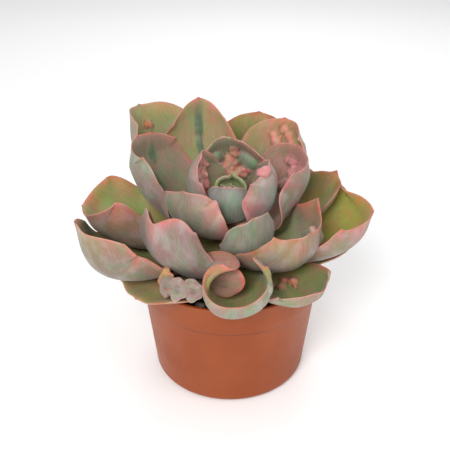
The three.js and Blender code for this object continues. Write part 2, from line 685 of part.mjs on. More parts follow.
// Each blade keeps clear of the stem and of the leaves inside it, and loses what would cross them.
function leafSolids(sheets) {
  const taken = [stemSolid(CLEAR)];
  return sheets.map((sheet) => {
    let solid = leafSolid(sheet, 0);
    for (const other of taken) if (boxesMeet(solid, other)) solid = solid.subtract(other);
    taken.push(leafSolid(sheet, CLEAR));
    return largestPart(solid).setTolerance(SIMPLIFY);
  });
}

// ---- The whole plant ----
const LEAF_COLOURS = { heart: 0xa9b8ad, mid: 0xb0a79f, outer: 0x9c9a78, low: 0x93996f, bottom: 0x7f8a5c };
const group = new THREE.Group();

function place(name, solid, colour, roughness) {
  const material = new THREE.MeshStandardMaterial({ color: colour, roughness, metalness: 0 });
  const mesh = new THREE.Mesh(geometryOf(solid), material);
  mesh.name = name;
  group.add(mesh);
}

place("pot", potSolid(), 0xa65a37, 0.55);
place("soil", soilSolid(), 0x2a211c, 0.95);
place("pebble", pebbleSolid(0), 0x8a8580, 0.8);
place("stem", stemSolid(0), 0x7b8458, 0.7);

const sheets = LEAVES.map(bladeSheet);
bendClear(sheets);
leafSolids(sheets).forEach((solid, i) => {
  const { name } = LEAVES[i];
  place(name, solid, LEAF_COLOURS[name.split("_")[1]], 0.6);
});

export default group;
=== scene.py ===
"""A potted succulent: a rosette of cupped, pink-rimmed echeveria leaves in a round plastic plant pot."""

import math

import bmesh
import bpy
import numpy as np
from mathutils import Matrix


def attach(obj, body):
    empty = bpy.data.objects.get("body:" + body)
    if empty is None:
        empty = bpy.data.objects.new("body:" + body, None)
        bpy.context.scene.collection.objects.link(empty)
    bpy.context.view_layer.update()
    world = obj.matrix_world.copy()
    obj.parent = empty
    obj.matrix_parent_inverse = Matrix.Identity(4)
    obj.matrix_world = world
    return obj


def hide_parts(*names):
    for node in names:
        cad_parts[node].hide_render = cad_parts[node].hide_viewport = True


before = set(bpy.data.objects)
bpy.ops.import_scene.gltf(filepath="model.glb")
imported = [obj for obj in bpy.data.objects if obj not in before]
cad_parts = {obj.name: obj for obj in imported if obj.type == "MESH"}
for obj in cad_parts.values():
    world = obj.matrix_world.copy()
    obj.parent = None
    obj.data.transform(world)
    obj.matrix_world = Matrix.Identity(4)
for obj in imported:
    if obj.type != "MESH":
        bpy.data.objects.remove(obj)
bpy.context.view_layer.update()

MM = 0.001  # every size below is in millimetres, as in the solids, until a mesh is made

# ---- Pot ----
RIM_RADIUS = 60
POT_HEIGHT = 79
BASE_RADIUS = 52
FOOT_ROUND = 5
BAND_HEIGHT = 60
BAND_STEP = 0.7
WALL = 1.6
FLOOR = 4
POT_SIDES = 192
EDGE_ROUND = 0.7
INNER_EDGE_ROUND = 0.5
SLOTS = 6
SLOT_WIDTH = 17
SLOT_DEPTH = 3
SLOT_START = 25
SLOT_TURN = 261
SLOT_ROUND = 0.6
DRAIN_AT = 33
DRAIN_RADIUS = 4
SHARP_ANGLE = 28  # degrees; the pot's edges above it stay sharp

# ---- Soil, pebble and stem ----
CLEAR = 0.3
SOIL_TOP = 71
SOIL_SIDES = 120
CRUMBS = 900
CRUMB_SIZES = (0.35, 1.3)
PEBBLE = {"x": -18.5, "y": -43, "across": 3.4, "high": 2.2}
STEM_PROFILE = [(6.4, 40), (6.4, 84), (5.4, 96), (3, 104), (1.6, 110), (1.2, 113)]

# ---- Leaves: the same grid of points as in the solids ----
ROWS = 8
COLUMNS = 6
STALK = 0.45
RIM_SHARE = 0.38
NECK = 0.2
TIP_POINT = 0.7
TIP_SPREAD = 0.2
TIP_START = 0.6
BASE_FOLD = 20
FOLD_DONE = 0.85
ROOTED = 0.6
STALK_END = 0.35
TAPER = 0.2
BEND_PASSES = 80
SWEEPS = 3
BEND_GAP = 1
BEND_REACH = 3.5
BEND_DEPTH = 9
BEND_BOX = 4
STIFFNESS = 0.4
LAST_PASSES = 8
LAST_STIFFNESS = 0.12
HELD = 0.14
OVER_RIM = 0.9
EDGE_INSIDE = 9
EDGE_OUTSIDE = 5

# ---- Leaves: the finer surface ----
LOWER_ROWS = 18  # below the widest place
UPPER_ROWS = 16  # from there to the tip
HALF_COLUMNS = 24  # on each side of the midrib
RIM_PACKING = 1.7  # how much closer the rows and columns stand near the rim
RIM_ROUNDING = 16  # the higher, the later a blade rounds off towards its edge
RIM_WAVE = 0.8
RIM_CURL = 0.7  # how far the last of the rim rolls outwards
CURL_START = 0.86
UNEVENNESS = 0.3  # how far a whole face waves
FREE_FROM, FREE_WITHIN = 0.15, 0.4  # a blade's base stays as it grew; further along it waves freely
MUCRO, MUCRO_SPREAD = 0.7, 0.05  # the small sharp point at the tip
LIP_AT, LIP_SPREAD = 0.9, 0.1  # where a swollen rim is thickest, 1 being the edge
KNOB_STEP = 0.02  # how far round a growth its leaf's directions are measured
LUMP_SIZES = (0.4, 0.75)  # of the small growths, as shares of the big one they surround

# ---- Colours, 0 to 255 ----
BLUE_GREY = (146, 152, 144)
LILAC_GREY = (156, 146, 138)
SAGE = (140, 144, 124)
PALE_SAGE = (146, 146, 130)
LEAF_GREEN = (122, 134, 80)
OLIVE = (132, 132, 72)
LIME = (158, 158, 70)
CORAL = (214, 122, 106)
PINK = (220, 126, 130)
ROSE = (206, 110, 104)
ORANGE = (216, 136, 80)
RUST = (190, 86, 60)
FADED_PINK = (196, 150, 138)
MAUVE = (146, 116, 112)
# A painted highlight along the very edge of each leaf.
EDGE_HIGHLIGHT = (224, 192, 178)
# Painted shade, laid in the creases between growths and in the middle of flat lobes.
CREASE_SHADE = (92, 52, 48)
# A painted highlight, laid on the growths' highest tops.
TOP_HIGHLIGHT = (232, 214, 204)
# Painted shade for the grooves between the outer ribs.
RIB_SHADE = (104, 108, 98)
TIP_BROWN = (150, 84, 70)
DEEP_SHARE, BELOW_SHARE = 0.4, 0.75  # how strong the colours towards the base are
BAND_SHARE, BAND_WIDTH = 0.85, 0.68  # strength of the band along the rim, and its width against "band"
EDGE_HIGHLIGHT_SHARE, EDGE_HIGHLIGHT_WIDTH = 0.45, 0.35  # the painted highlight, a pale line at the very edge
TIP_SHARE, TIP_WIDTH, TIP_LENGTH = 0.8, 0.9, 1.5  # the dark point of each leaf
INNER_BARE, LOBE_BARE = 0.75, 0.4  # how much of the pale wax is missing there
LEAVES_APART, FACES_APART, LOBES_APART = 37, 11, 53  # in the material's grain, so that it never repeats

# Every leaf, from the heart outwards. Its shape, as in the solids:
# turn: degrees, 0 to the right and 90 away from the viewer. base: its height on the stem.
# spine: (distance from the stem, height, sideways). half, fold: width and turn of its left and right side.
# thickness: mm. roundness: how full its end is. widest: the place of its greatest width, as a share.
# steady: how little its rim turns with the midrib. bulges: (place round the rim, mm, spread).
# Its colours. outer, inner: the two faces. below, deep: the same two towards the base.
# rim, band: the colour along the edge and how many mm wide it is. stripe: a colour along the midrib, its
# place round the rim and its width. blush: zones as (place round the rim, spread, mm, strength, colour).
# Its finer forms. crinkle: height and number of the small folds of the rim. lip: mm that the rim swells.
# outer_ribs: depth, spacing and side (1 left, -1 right). knobs: growths as (along, across, long, broad,
# high). ribs: the spacing of the beads along them. warts: how many small growths surround each of them,
# and two colours of their tops. crease: the painted shade colour in the creases between them. pads:
# smooth swellings, as knobs with a colour. lobes: frilled lobes, as knobs with a lean in degrees, the share
# of their length that they stand ahead, their colour and their rim's colour.
PLAIN_LEAF = dict(
    thickness=4.2, roundness=0.7, widest=0.5, steady=0, bulges=[], outer=SAGE, inner=OLIVE, below=MAUVE,
    deep=LIME, rim=CORAL, band=1.4, blush=[], lip=0, crease=CREASE_SHADE, knobs=[], pads=[], lobes=[],
)
LEAVES = {}


def grow(name, turn, base, spine, half, fold=(60, 60), **other):
    """Adds a leaf to the table. It is plain wherever nothing else is said."""
    LEAVES[name] = PLAIN_LEAF | dict(turn=turn, base=base, spine=spine, half=half, fold=fold) | other


grow("heart_bud", 80, 110.5, [(8, 121), (9, 131), (3, 138)], (16, 16), (100, 100), thickness=3,
     outer=(150, 156, 134), inner=(148, 156, 104), rim=(182, 186, 154), band=1.8, deep=(150, 140, 70),
     below=SAGE, crinkle=(0.3, 7), lip=0.55,
     lobes=[(0.62, -0.4, 5.4, 3.8, 1, 66, 0.2, (146, 152, 118), (206, 196, 160)),
         (0.68, 0.35, 5.4, 3.8, 1, 70, 0.2, (150, 156, 124), (200, 176, 150)),
         (0.5, 0.05, 5, 3.4, 1, 64, 0.4, (170, 162, 92), (206, 190, 130))])
grow("heart_front", 262, 109.2, [(12, 114), (15, 126), (11, 138)], (20, 20), (75, 75),
     bulges=[(0, -2, 0.25)], outer=(140, 152, 142), inner=SAGE, rim=FADED_PINK, band=0.7,
     below=(136, 142, 134), blush=[(-0.9, 0.4, 5, 0.4, PINK), (0.3, 0.3, 9, 0.3, (160, 124, 124))],
     crinkle=(0.25, 5))
grow("heart_right", 350, 107, [(17, 111), (28, 125), (30, 141), (25, 151)], (27, 27), (70, 100),
     roundness=0.6, steady=0.3, knobs=[(0.76, -0.8, 4.6, 3.6, 3.6), (0.63, -0.9, 3.4, 3, 3)],
     outer=BLUE_GREY, inner=PALE_SAGE, rim=PINK, band=1.2,
     blush=[(-0.95, 0.5, 9, 1, (228, 136, 142)), (0.2, 0.4, 5, 0.3, PINK)],
     warts=(4, (218, 128, 138), (196, 92, 104)),
     lobes=[(0.98, -0.42, 3.8, 4.4, 4.4, 0, 0, (216, 138, 142), (216, 138, 142))])
grow("heart_left", 160, 106.5, [(15, 111), (25, 124), (26, 141), (19, 151)], (26, 30), (95, 75),
     knobs=[(0.62, -0.1, 3.6, 3.4, 3.4), (0.73, 0.08, 3.8, 3.4, 3.6), (0.83, -0.12, 3.4, 3.4, 3.4),
         (0.93, 0.04, 3, 3, 3), (0.55, -0.32, 4, 3.4, 4), (0.7, -0.3, 4, 3.4, 4.4),
         (0.85, -0.34, 3.4, 3, 3.6)], outer=(150, 150, 140), inner=(146, 140, 116), rim=PINK, band=1.2,
     below=(140, 132, 124), blush=[(0.2, 0.8, 6, 0.4, PINK)], warts=(3, (240, 164, 162), (230, 142, 142)),
     crease=(176, 116, 106))
grow("heart_back", 81, 105.5, [(14, 112), (21, 130), (21, 146), (14, 157)], (25, 23), (65, 60),
     knobs=[(0.55, 0, 4.4, 4, 4), (0.68, 0.08, 4, 4, 3.8), (0.8, -0.06, 3.4, 3.4, 3.2),
         (0.62, -0.32, 3.6, 3.2, 3), (0.62, 0.22, 3.4, 3, 2.8)], inner=(140, 132, 112), rim=FADED_PINK,
     band=1.1, deep=(118, 84, 68), blush=[(-0.5, 0.4, 5, 0.5, ROSE)],
     warts=(2, (226, 150, 126), (212, 120, 116)),
     pads=[(0.74, 0.56, 6.5, 6, 3, (116, 150, 118)), (0.74, -0.42, 7.5, 7.5, 3.2, (124, 158, 128))])
grow("mid_front_left", 250, 103.5, [(20, 105, -6), (32, 113, -14), (38, 126, -19), (36, 138, -20)],
     (25, 28), (64, 72), roundness=0.6, bulges=[(0.45, 4, 0.3)], outer=(140, 140, 124), inner=SAGE,
     rim=(206, 128, 112), band=1.1, below=(152, 120, 116),
     blush=[(0.75, 0.45, 12, 1, (230, 142, 142)), (-0.6, 0.3, 3, 0.4, PINK), (0, 0.3, 8, 0.3, OLIVE)])
grow("mid_front_right", 288, 102, [(22, 95), (36, 98), (43, 112), (41, 129)], (26, 22), (78, 82),
     bulges=[(0.28, 4, 0.2), (-0.4, -1, 0.3)], outer=(138, 142, 124), inner=PALE_SAGE, rim=FADED_PINK,
     band=0.9, below=(146, 122, 118), blush=[(0.6, 0.3, 6, 0.35, PINK)], crinkle=(0.3, 4))
grow("mid_right", 30, 101, [(26, 101), (45, 113), (54, 131), (53, 148)], (33, 46), (55, 98), steady=0.4,
     bulges=[(-0.6, 5, 0.35)],
     knobs=[(0.62, 0.1, 4, 3.6, 3.6), (0.74, 0, 3.6, 3.6, 3.4), (0.84, 0.16, 3.2, 3, 3),
         (0.66, -0.26, 3.2, 3, 2.8), (0.58, -0.2, 5, 3.6, 3), (0.78, -0.2, 4.6, 3.6, 3)],
     outer=(142, 138, 122), inner=(178, 142, 128), rim=PINK, deep=(120, 84, 66), below=(146, 122, 116),
     blush=[(-0.4, 0.5, 9, 0.5, PINK), (0.6, 0.4, 5, 0.5, RUST)],
     warts=(3, (222, 148, 148), (186, 130, 136)), crease=(140, 94, 84))
grow("mid_left", 158, 100, [(30, 104), (56, 118), (69, 138), (67, 156)], (42, 36), (108, 60),
     roundness=0.75, steady=0.5, bulges=[(0.65, 4, 0.35), (-0.4, 3, 0.3)],
     knobs=[(0.62, -0.15, 8, 1.8, 1.8), (0.72, 0.05, 6, 1.6, 1.6), (0.86, -0.3, 9, 4, 2),
         (0.74, 0.12, 10, 3.6, 2)], outer=(146, 144, 130), inner=(148, 138, 116), rim=ROSE, band=1.1,
     deep=(128, 116, 76), blush=[(-0.7, 0.35, 5, 0.5, CORAL)], ribs=3.0,
     warts=(0, (88, 118, 92), (106, 132, 104)))
grow("mid_back_left", 112, 99, [(26, 110), (42, 134), (52, 157), (54, 171)], (31, 25), (40, 70),
     roundness=1.1, knobs=[(0.66, 0.03, 11, 2.2, 2.4), (0.5, -0.06, 6, 2, 2), (0.84, 0.03, 13, 3.4, 1.6)],
     outer=(158, 138, 130), inner=(160, 154, 108), band=1.2, deep=(150, 156, 86),
     blush=[(-0.5, 0.5, 7, 0.6, (198, 118, 100)), (0.7, 0.4, 7, 0.35, ORANGE)], ribs=2.6,
     warts=(0, (84, 116, 92), (100, 130, 104)), stripe=((104, 122, 84), 0.02, 0.1))
grow("mid_back_right", 58, 98, [(26, 104), (48, 120), (63, 139), (68, 154)], (28, 38), (55, 112),
     knobs=[(0.74, -0.1, 4.6, 4.2, 4.2), (0.84, -0.28, 4, 3.8, 3.8), (0.7, -0.38, 4, 3.6, 3.6),
         (0.83, 0.12, 3.6, 3.6, 3.4), (0.93, -0.05, 3, 3, 3)], inner=(158, 142, 100), band=1.6,
     deep=(118, 132, 66), blush=[(0, 0.6, 9, 0.5, (206, 132, 88)), (-0.7, 0.5, 6, 0.6, CORAL)],
     warts=(2, (232, 156, 140), (230, 146, 128)), crease=(172, 118, 90))
grow("outer_back_left", 139, 96.5, [(34, 102), (57, 123), (73, 146), (80, 165)], (29, 34), (100, 58),
     bulges=[(0.45, 5, 0.3), (-0.5, 4, 0.3)], knobs=[(0.74, 0.1, 3, 2.8, 3), (0.81, -0.06, 2.8, 2.6, 2.8)],
     inner=(156, 168, 116), rim=(196, 138, 118), band=1.3,
     blush=[(-0.5, 0.5, 8, 0.5, ORANGE), (0.6, 0.4, 4, 0.3, PINK)], warts=(3, ORANGE, CORAL))
grow("outer_back", 75, 95.5, [(34, 100), (54, 121), (68, 140), (74, 154)], (30, 30), inner=(124, 138, 70),
     rim=RUST, band=1.6, blush=[(0, 0.8, 7, 0.4, ORANGE)])
grow("outer_front_left", 238, 94, [(34, 86, -3), (55, 90, -7), (67, 107, -9), (69, 126, -9), (63, 138, -9)],
     (29, 31), (95, 108), bulges=[(0.42, 5, 0.25), (0, -10, 0.2), (-0.5, 4, 0.3)], outer=(142, 124, 116),
     inner=(134, 112, 88), band=1.2, below=(140, 122, 112),
     blush=[(0.1, 0.35, 6, 0.6, PINK), (-0.8, 0.3, 4, 0.4, ORANGE)])
grow("outer_front_right", 318, 93, [(32, 89), (52, 94), (62, 106), (62, 121)], (48, 36), (104, 86),
     widest=0.48, steady=0.9, bulges=[(-0.55, 4, 0.3), (0.75, 3, 0.3)],
     knobs=[(0.6, 0.05, 7, 2, 3), (0.62, 0.19, 7.5, 2, 3.4), (0.63, 0.33, 7.5, 2, 3.4),
         (0.62, 0.47, 6.5, 2, 3)], outer=(146, 128, 114), inner=(146, 140, 118), rim=(212, 112, 84),
     band=1.8, below=(144, 120, 118),
     blush=[(-0.5, 0.45, 10, 0.75, (206, 146, 92)), (0.6, 0.4, 11, 0.75, (200, 122, 98))], ribs=99,
     warts=(0, (146, 148, 128), (158, 140, 130)),
     lobes=[(0.66, 0.5, 9, 7, 4.5, 15, 0, (150, 154, 136), (192, 184, 166)),
         (0.82, 0.42, 7, 6, 4, 25, 0, (158, 148, 136), (204, 168, 152))])
grow("outer_right_back", 23, 92, [(34, 95), (56, 104), (70, 115), (76, 126)], (25, 25),
     bulges=[(0, 2, 0.12)], rim=RUST, blush=[(0, 0.6, 7, 0.4, ORANGE)])
grow("outer_right", 355, 91, [(38, 89), (64, 96), (80, 107), (86, 119)], (44, 40), (95, 85),
     bulges=[(0.6, 6, 0.3)], outer=(150, 136, 116), inner=(182, 176, 88), band=1.7, deep=(118, 128, 56),
     blush=[(-0.4, 0.5, 8, 0.6, PINK), (0.5, 0.5, 9, 0.5, ORANGE)])
grow("outer_left", 185, 90, [(36, 91), (64, 96), (84, 108), (92, 121)], (44, 40), (115, 78), widest=0.6,
     steady=0.5, bulges=[(0.6, 5, 0.35), (-0.6, 5, 0.3)], outer=(150, 130, 112), inner=(162, 172, 108),
     band=2.2,
     blush=[(0.62, 0.4, 12, 0.9, CORAL), (-0.5, 0.5, 9, 0.6, ORANGE), (0.3, 0.15, 16, 0.4, (120, 116, 96))])
grow("low_left", 203, 88.5, [(40, 83), (70, 85), (91, 99), (97, 126)], (40, 30), (90, 70), widest=0.6,
     bulges=[(0.5, 5, 0.25)], knobs=[(0.56, 0.8, 3.6, 3, 2.6), (0.47, 0.72, 3, 2.6, 2.2)],
     outer=(134, 128, 110), inner=(134, 130, 92), band=1.7, below=(128, 120, 104),
     blush=[(0.95, 0.25, 9, 0.8, CORAL), (0.1, 0.5, 7, 0.5, ORANGE)], warts=(2, CORAL, PINK))
grow("low_front", 271, 87, [(36, 83), (58, 82), (74, 85), (80, 96)], (50, 52), (138, 198), widest=0.6,
     steady=1, bulges=[(0.75, 4, 0.25)], outer=(150, 150, 132), inner=(146, 144, 92), rim=(206, 112, 96),
     band=1.8,
     blush=[(-0.8, 0.45, 11, 0.9, (206, 106, 84)), (0.85, 0.3, 4, 0.6, CORAL), (0, 0.5, 4, 0.3, ORANGE)],
     outer_ribs=(0.35, 2.7, 1),
     lobes=[(0.62, -0.32, 12, 9.5, 1.6, 72, 0.7, (176, 134, 118), (226, 120, 98))])
grow("low_frilled", 241, 84.5, [(30, 85), (50, 87), (63, 91), (68, 96)], (20, 18), (50, 50),
     outer=(146, 134, 120), inner=(136, 116, 92), blush=[(0.8, 0.3, 6, 0.5, CORAL)],
     lobes=[(0.97, 0.75, 7, 6, 2.8, 60, 0, (156, 138, 128), (198, 160, 150)),
         (0.98, 0.2, 7, 6, 2.8, 65, 0, (152, 142, 130), (196, 158, 148)),
         (0.97, -0.35, 6.5, 6, 2.8, 60, 0, (150, 130, 120), (200, 146, 132)),
         (0.88, -0.95, 10, 6, 2.2, 50, 0.15, (222, 172, 112), (220, 132, 104))])
grow("low_back_left", 165, 86.5, [(34, 90), (54, 98), (68, 108), (74, 116)], (27, 27), band=1.5,
     blush=[(0, 0.7, 8, 0.5, ORANGE)])
grow("outer_back_right", 48, 85.5, [(36, 88), (56, 96), (72, 108), (80, 118)], (27, 27), outer=LILAC_GREY,
     band=1.6, blush=[(0.3, 0.6, 8, 0.5, ORANGE)])
grow("low_front_right", 308, 83.5, [(36, 82), (58, 82.5), (74, 87), (79, 95)], (29, 29), widest=0.62,
     knobs=[(0.56, -0.02, 3, 2.8, 2.6), (0.58, 0.3, 3.2, 3, 2.8)], outer=(154, 146, 120),
     inner=(138, 138, 90), rim=ROSE, band=1.2, blush=[(0.7, 0.3, 4, 0.4, RUST)],
     warts=(2, CORAL, (200, 132, 100)))
grow("low_front_left", 222, 82.5, [(36, 82), (58, 82), (74, 84)], (31, 31), (40, 40), widest=0.62,
     outer=(154, 142, 116), inner=(154, 140, 92), rim=(218, 150, 120), band=1.3,
     blush=[(0.8, 0.4, 8, 0.7, ORANGE)])
grow("low_back", 100, 81.5, [(40, 88), (62, 98), (80, 114), (88, 126)], (29, 29), outer=LILAC_GREY,
     band=1.6, blush=[(-0.4, 0.6, 9, 0.5, ORANGE)])
grow("bottom_back_left", 142, 80.5, [(38, 83), (60, 88), (80, 98)], (29, 29), (50, 50), inner=LEAF_GREEN,
     blush=[(0, 0.8, 8, 0.5, ORANGE)])
grow("bottom_right", 5, 80, [(38, 82), (60, 85), (78, 91)], (29, 29), (50, 50), inner=LEAF_GREEN, rim=RUST,
     blush=[(0.3, 0.6, 8, 0.5, CORAL)])
grow("bottom_back", 75, 79, [(38, 81), (60, 84), (80, 94)], (28, 28), (40, 40), inner=LEAF_GREEN, band=1.3,
     blush=[(-0.2, 0.6, 8, 0.4, ORANGE)])
grow("bottom_left", 188, 78.5, [(38, 81), (60, 82.5), (76, 88)], (28, 28), (40, 40), inner=LEAF_GREEN,
     blush=[(0.2, 0.6, 8, 0.5, ORANGE)])


# ---- Small helpers ----
def ease(x):
    """0 below 0, 1 above 1 and a smooth rise between them."""
    x = np.clip(x, 0, 1)
    return x * x * (3 - 2 * x)


def bell(x):
    """1 at 0, falling off smoothly to both sides."""
    return np.exp(-(x**2))


def unit(v):
    return v / np.maximum(np.linalg.norm(v, axis=-1, keepdims=True), 1e-9)


def linear(colour):
    """A colour of 0 to 255 per channel, as the shader's own linear values."""
    c = np.array(colour, float) / 255
    return np.where(c < 0.04045, c / 12.92, ((c + 0.055) / 1.055) ** 2.4)


def blend(colour, tint, share):
    """Each point's linear colour with a share of a tint, which is linear too or one colour of 0 to 255."""
    if isinstance(tint, tuple):
        tint = linear(tint)
    return colour * (1 - share[..., None]) + tint * share[..., None]


def turned(x, y, angle):
    """Two coordinates turned by an angle in radians."""
    return x * math.cos(angle) - y * math.sin(angle), x * math.sin(angle) + y * math.cos(angle)


def by_side(pair, across):
    """A leaf's value of its left or its right side, at each point."""
    return np.where(across > 0, pair[0], pair[1])


def rough_field(x, y, seed, waves=7):
    """A smooth random field of about -1 to 1 whose lumps are about one unit across."""
    rng = np.random.default_rng(seed)
    total = np.zeros(np.broadcast(x, y).shape)
    for _ in range(waves):
        angle = rng.uniform(0, 2 * np.pi)
        size = rng.uniform(1.5, 4.5)
        phase = rng.uniform(0, 2 * np.pi)
        total += np.sin(size * (x * np.cos(angle) + y * np.sin(angle)) + phase)
    return total / math.sqrt(waves / 2)


# ---- Leaf blades: the middle sheet as it grew ----
def curve(points, steps):
    """Places and directions of a smooth curve through points, at steps from 0 to 1."""
    slopes = np.gradient(points, axis=0)
    last = len(points) - 1
    first = np.minimum((steps * last).astype(int), last - 1)
    f = (steps * last - first)[..., None]
    here, there = points[first], points[first + 1]
    leave, arrive = slopes[first], slopes[first + 1]
    places = (
        (2 * f**3 - 3 * f**2 + 1) * here + (f**3 - 2 * f**2 + f) * leave
        + (3 * f**2 - 2 * f**3) * there + (f**3 - f**2) * arrive
    )
    directions = (
        (6 * f**2 - 6 * f) * (here - there) + (3 * f**2 - 4 * f + 1) * leave
        + (3 * f**2 - 2 * f) * arrive
    )
    return places, unit(directions)


def stem_radius(height):
    radii, heights = zip(*STEM_PROFILE)
    return float(np.interp(height, heights, radii))


def rim_terms(leaf, along, across):
    """cap: 0 below the widest place, 1 at the tip. rim: 1 at the rim. place: 0 tip, 1 left, -1 right."""
    cap = np.maximum((along - leaf["widest"]) / (1 - leaf["widest"]), 0)
    return cap, np.maximum(np.abs(across), cap), np.arctan2(across, cap) / (np.pi / 2)


def grown_sheet(leaf, along, across):
    """Points, tangents and half thicknesses of a leaf's middle sheet, before it is bent."""
    along, across = np.broadcast_arrays(along, across)
    turn = math.radians(leaf["turn"])
    outwards = np.array([math.cos(turn), math.sin(turn), 0])
    left = np.array([-math.sin(turn), math.cos(turn), 0])
    widest, bend = leaf["widest"], leaf["roundness"] / 2
    knots = [(stem_radius(leaf["base"]) - ROOTED, leaf["base"])] + leaf["spine"]
    midrib = np.array([
        outwards * knot[0] + left * (knot[2] if len(knot) > 2 else 0) + np.array([0, 0, knot[1]])
        for knot in knots
    ])
    cap, rim, place = rim_terms(leaf, along, across)
    lower = along < widest
    narrowed = NECK + (1 - NECK) * ease(along / widest)
    side = np.where(lower, across * narrowed, across * (1 - cap * cap / 2) ** bend)
    share = np.where(lower, along, widest + (1 - widest) * cap * (1 - across * across / 2) ** bend)

    steps = np.linspace(0, 1, 201)
    chords = np.linalg.norm(np.diff(curve(midrib, steps)[0], axis=0), axis=1)
    lengths = np.append(0, np.cumsum(chords))
    points, tangent = curve(midrib, np.interp(share * lengths[-1], lengths, steps))
    straight = unit(midrib[-1] - midrib[0])
    steady = (leaf["steady"] * np.abs(side))[..., None]
    tangent = unit(tangent * (1 - steady) + straight * steady)
    level = unit(left - tangent * (tangent @ left)[..., None])
    lift = np.cross(tangent, level)
    start = math.radians(BASE_FOLD)
    fold = start + (np.radians(by_side(leaf["fold"], side)) - start) * ease(share / (FOLD_DONE * widest))
    half = by_side(leaf["half"], side)
    angle = fold * np.abs(side)
    points = points + (np.sign(side) * half * np.sin(angle) / fold)[..., None] * level
    points = points + (half * (1 - np.cos(angle)) / fold)[..., None] * lift

    rimward = level * (np.sign(side) * np.cos(angle))[..., None] + lift * np.sin(angle)[..., None]
    round_rim = place * np.pi / 2
    for centre, reach, spread in leaf["bulges"]:
        amount = reach * bell((place - centre) / spread) * rim * rim
        points = points + tangent * (amount * np.cos(round_rim))[..., None]
        points = points + rimward * (amount * np.abs(np.sin(round_rim)))[..., None]
    pointed = bell(across / TIP_SPREAD) * ease((cap - TIP_START) / (1 - TIP_START))
    points = points + tangent * (TIP_POINT * pointed)[..., None]

    stalk = STALK + (1 - STALK) * ease(along / STALK_END)
    thinned = 1 - (1 - RIM_SHARE) * rim**3
    return points, tangent, 0.5 * leaf["thickness"] * stalk * (1 - TAPER * share) * thinned


def sheet_normals(points):
    """Unit normals on the inner face's side."""
    normals = unit(np.cross(np.gradient(points, axis=0), np.gradient(points, axis=1)))
    # At the two corners of the tip both directions run along the rim.
    normals[-1, 0], normals[-1, -1] = normals[-2, 1], normals[-2, -2]
    return normals


# ---- Bending the leaves clear of each other, as the solids are ----
def denser(values):
    """A grid with one more value between each two, along and across."""
    tall = np.repeat(values, 2, axis=0)[:-1].astype(float)
    tall[1::2] = (values[1:] + values[:-1]) / 2
    wide = np.repeat(tall, 2, axis=1)[:, :-1]
    wide[:, 1::2] = (tall[:, 1:] + tall[:, :-1]) / 2
    return wide


class Sheet:
    """One leaf's coarse grid, which the others push aside."""

    def __init__(self, leaf):
        self.leaf = leaf
        along = np.linspace(0, 1, ROWS + 1)[:, None]
        across = np.linspace(-1, 1, COLUMNS + 1)[None]
        self.grown, _, self.half = grown_sheet(leaf, along, across)
        self.at = self.grown.copy()
        self.held = ease(along / HELD)[..., None]

    def ready(self):
        self.samples = denser(self.at).reshape(-1, 3)
        self.sample_normals = unit(denser(sheet_normals(self.at)).reshape(-1, 3))
        self.sample_half = denser(self.half).reshape(-1)
        self.low = self.samples.min(0) - BEND_BOX
        self.high = self.samples.max(0) + BEND_BOX
        self.push = np.zeros((self.half.size, 3))
        self.pushes = np.zeros(self.half.size)

    def push_off(self, other, side):
        """Pushes this sheet's points off another's inner face (side 1) or outer face (side -1)."""
        flat = self.at.reshape(-1, 3)
        near = np.flatnonzero(((flat >= other.low) & (flat <= other.high)).all(1))
        if not near.size:
            return
        squares = ((flat[near, None] - other.samples[None]) ** 2).sum(2)
        nearest = squares.argmin(1)
        normal = other.sample_normals[nearest] * side
        height = ((flat[near] - other.samples[nearest]) * normal).sum(1)
        sideways = np.sqrt(np.maximum(squares.min(1) - height * height, 0))
        need = self.half.reshape(-1)[near] + other.sample_half[nearest] + BEND_GAP
        felt = (sideways < BEND_REACH) & (height < need) & (height > -BEND_DEPTH)
        self.push[near[felt]] += (normal * ((need - height) / 2)[:, None])[felt]
        self.pushes[near[felt]] += 1

    def settle(self, stiffness):
        push = (self.push / np.maximum(self.pushes, 1)[:, None]).reshape(self.at.shape)
        moved = self.at + push * self.held - self.grown
        for _ in range(SWEEPS):
            even = moved.copy()
            even[1:-1] = (moved[2:] + moved[:-2]) / 2
            across = even.copy()
            across[:, 1:-1] = (even[:, 2:] + even[:, :-2]) / 2
            moved = moved + (across - moved) * stiffness
        self.at = self.grown + moved * self.held
        radius = np.hypot(self.at[..., 0], self.at[..., 1])
        floor = np.where(radius > RIM_RADIUS - EDGE_INSIDE, POT_HEIGHT, SOIL_TOP)
        least = floor + OVER_RIM + self.half
        low = (radius < RIM_RADIUS + EDGE_OUTSIDE) & (self.at[..., 2] < least)
        self.at[..., 2] = np.where(low, least, self.at[..., 2])


def bend_clear(sheets):
    """Pushes every two blades apart and evens them out again, over and over."""
    for passed in range(BEND_PASSES):
        for sheet in sheets:
            sheet.ready()
        for i, inner in enumerate(sheets):
            for outer in sheets[i + 1:]:
                if (inner.low > outer.high).any() or (outer.low > inner.high).any():
                    continue
                outer.push_off(inner, -1)
                inner.push_off(outer, 1)
        for sheet in sheets:
            sheet.settle(STIFFNESS if passed < BEND_PASSES - LAST_PASSES else LAST_STIFFNESS)


# ---- Objects and meshes ----
def add_object(name, data):
    thing = bpy.data.objects.new(name, data)
    bpy.context.scene.collection.objects.link(thing)
    return thing


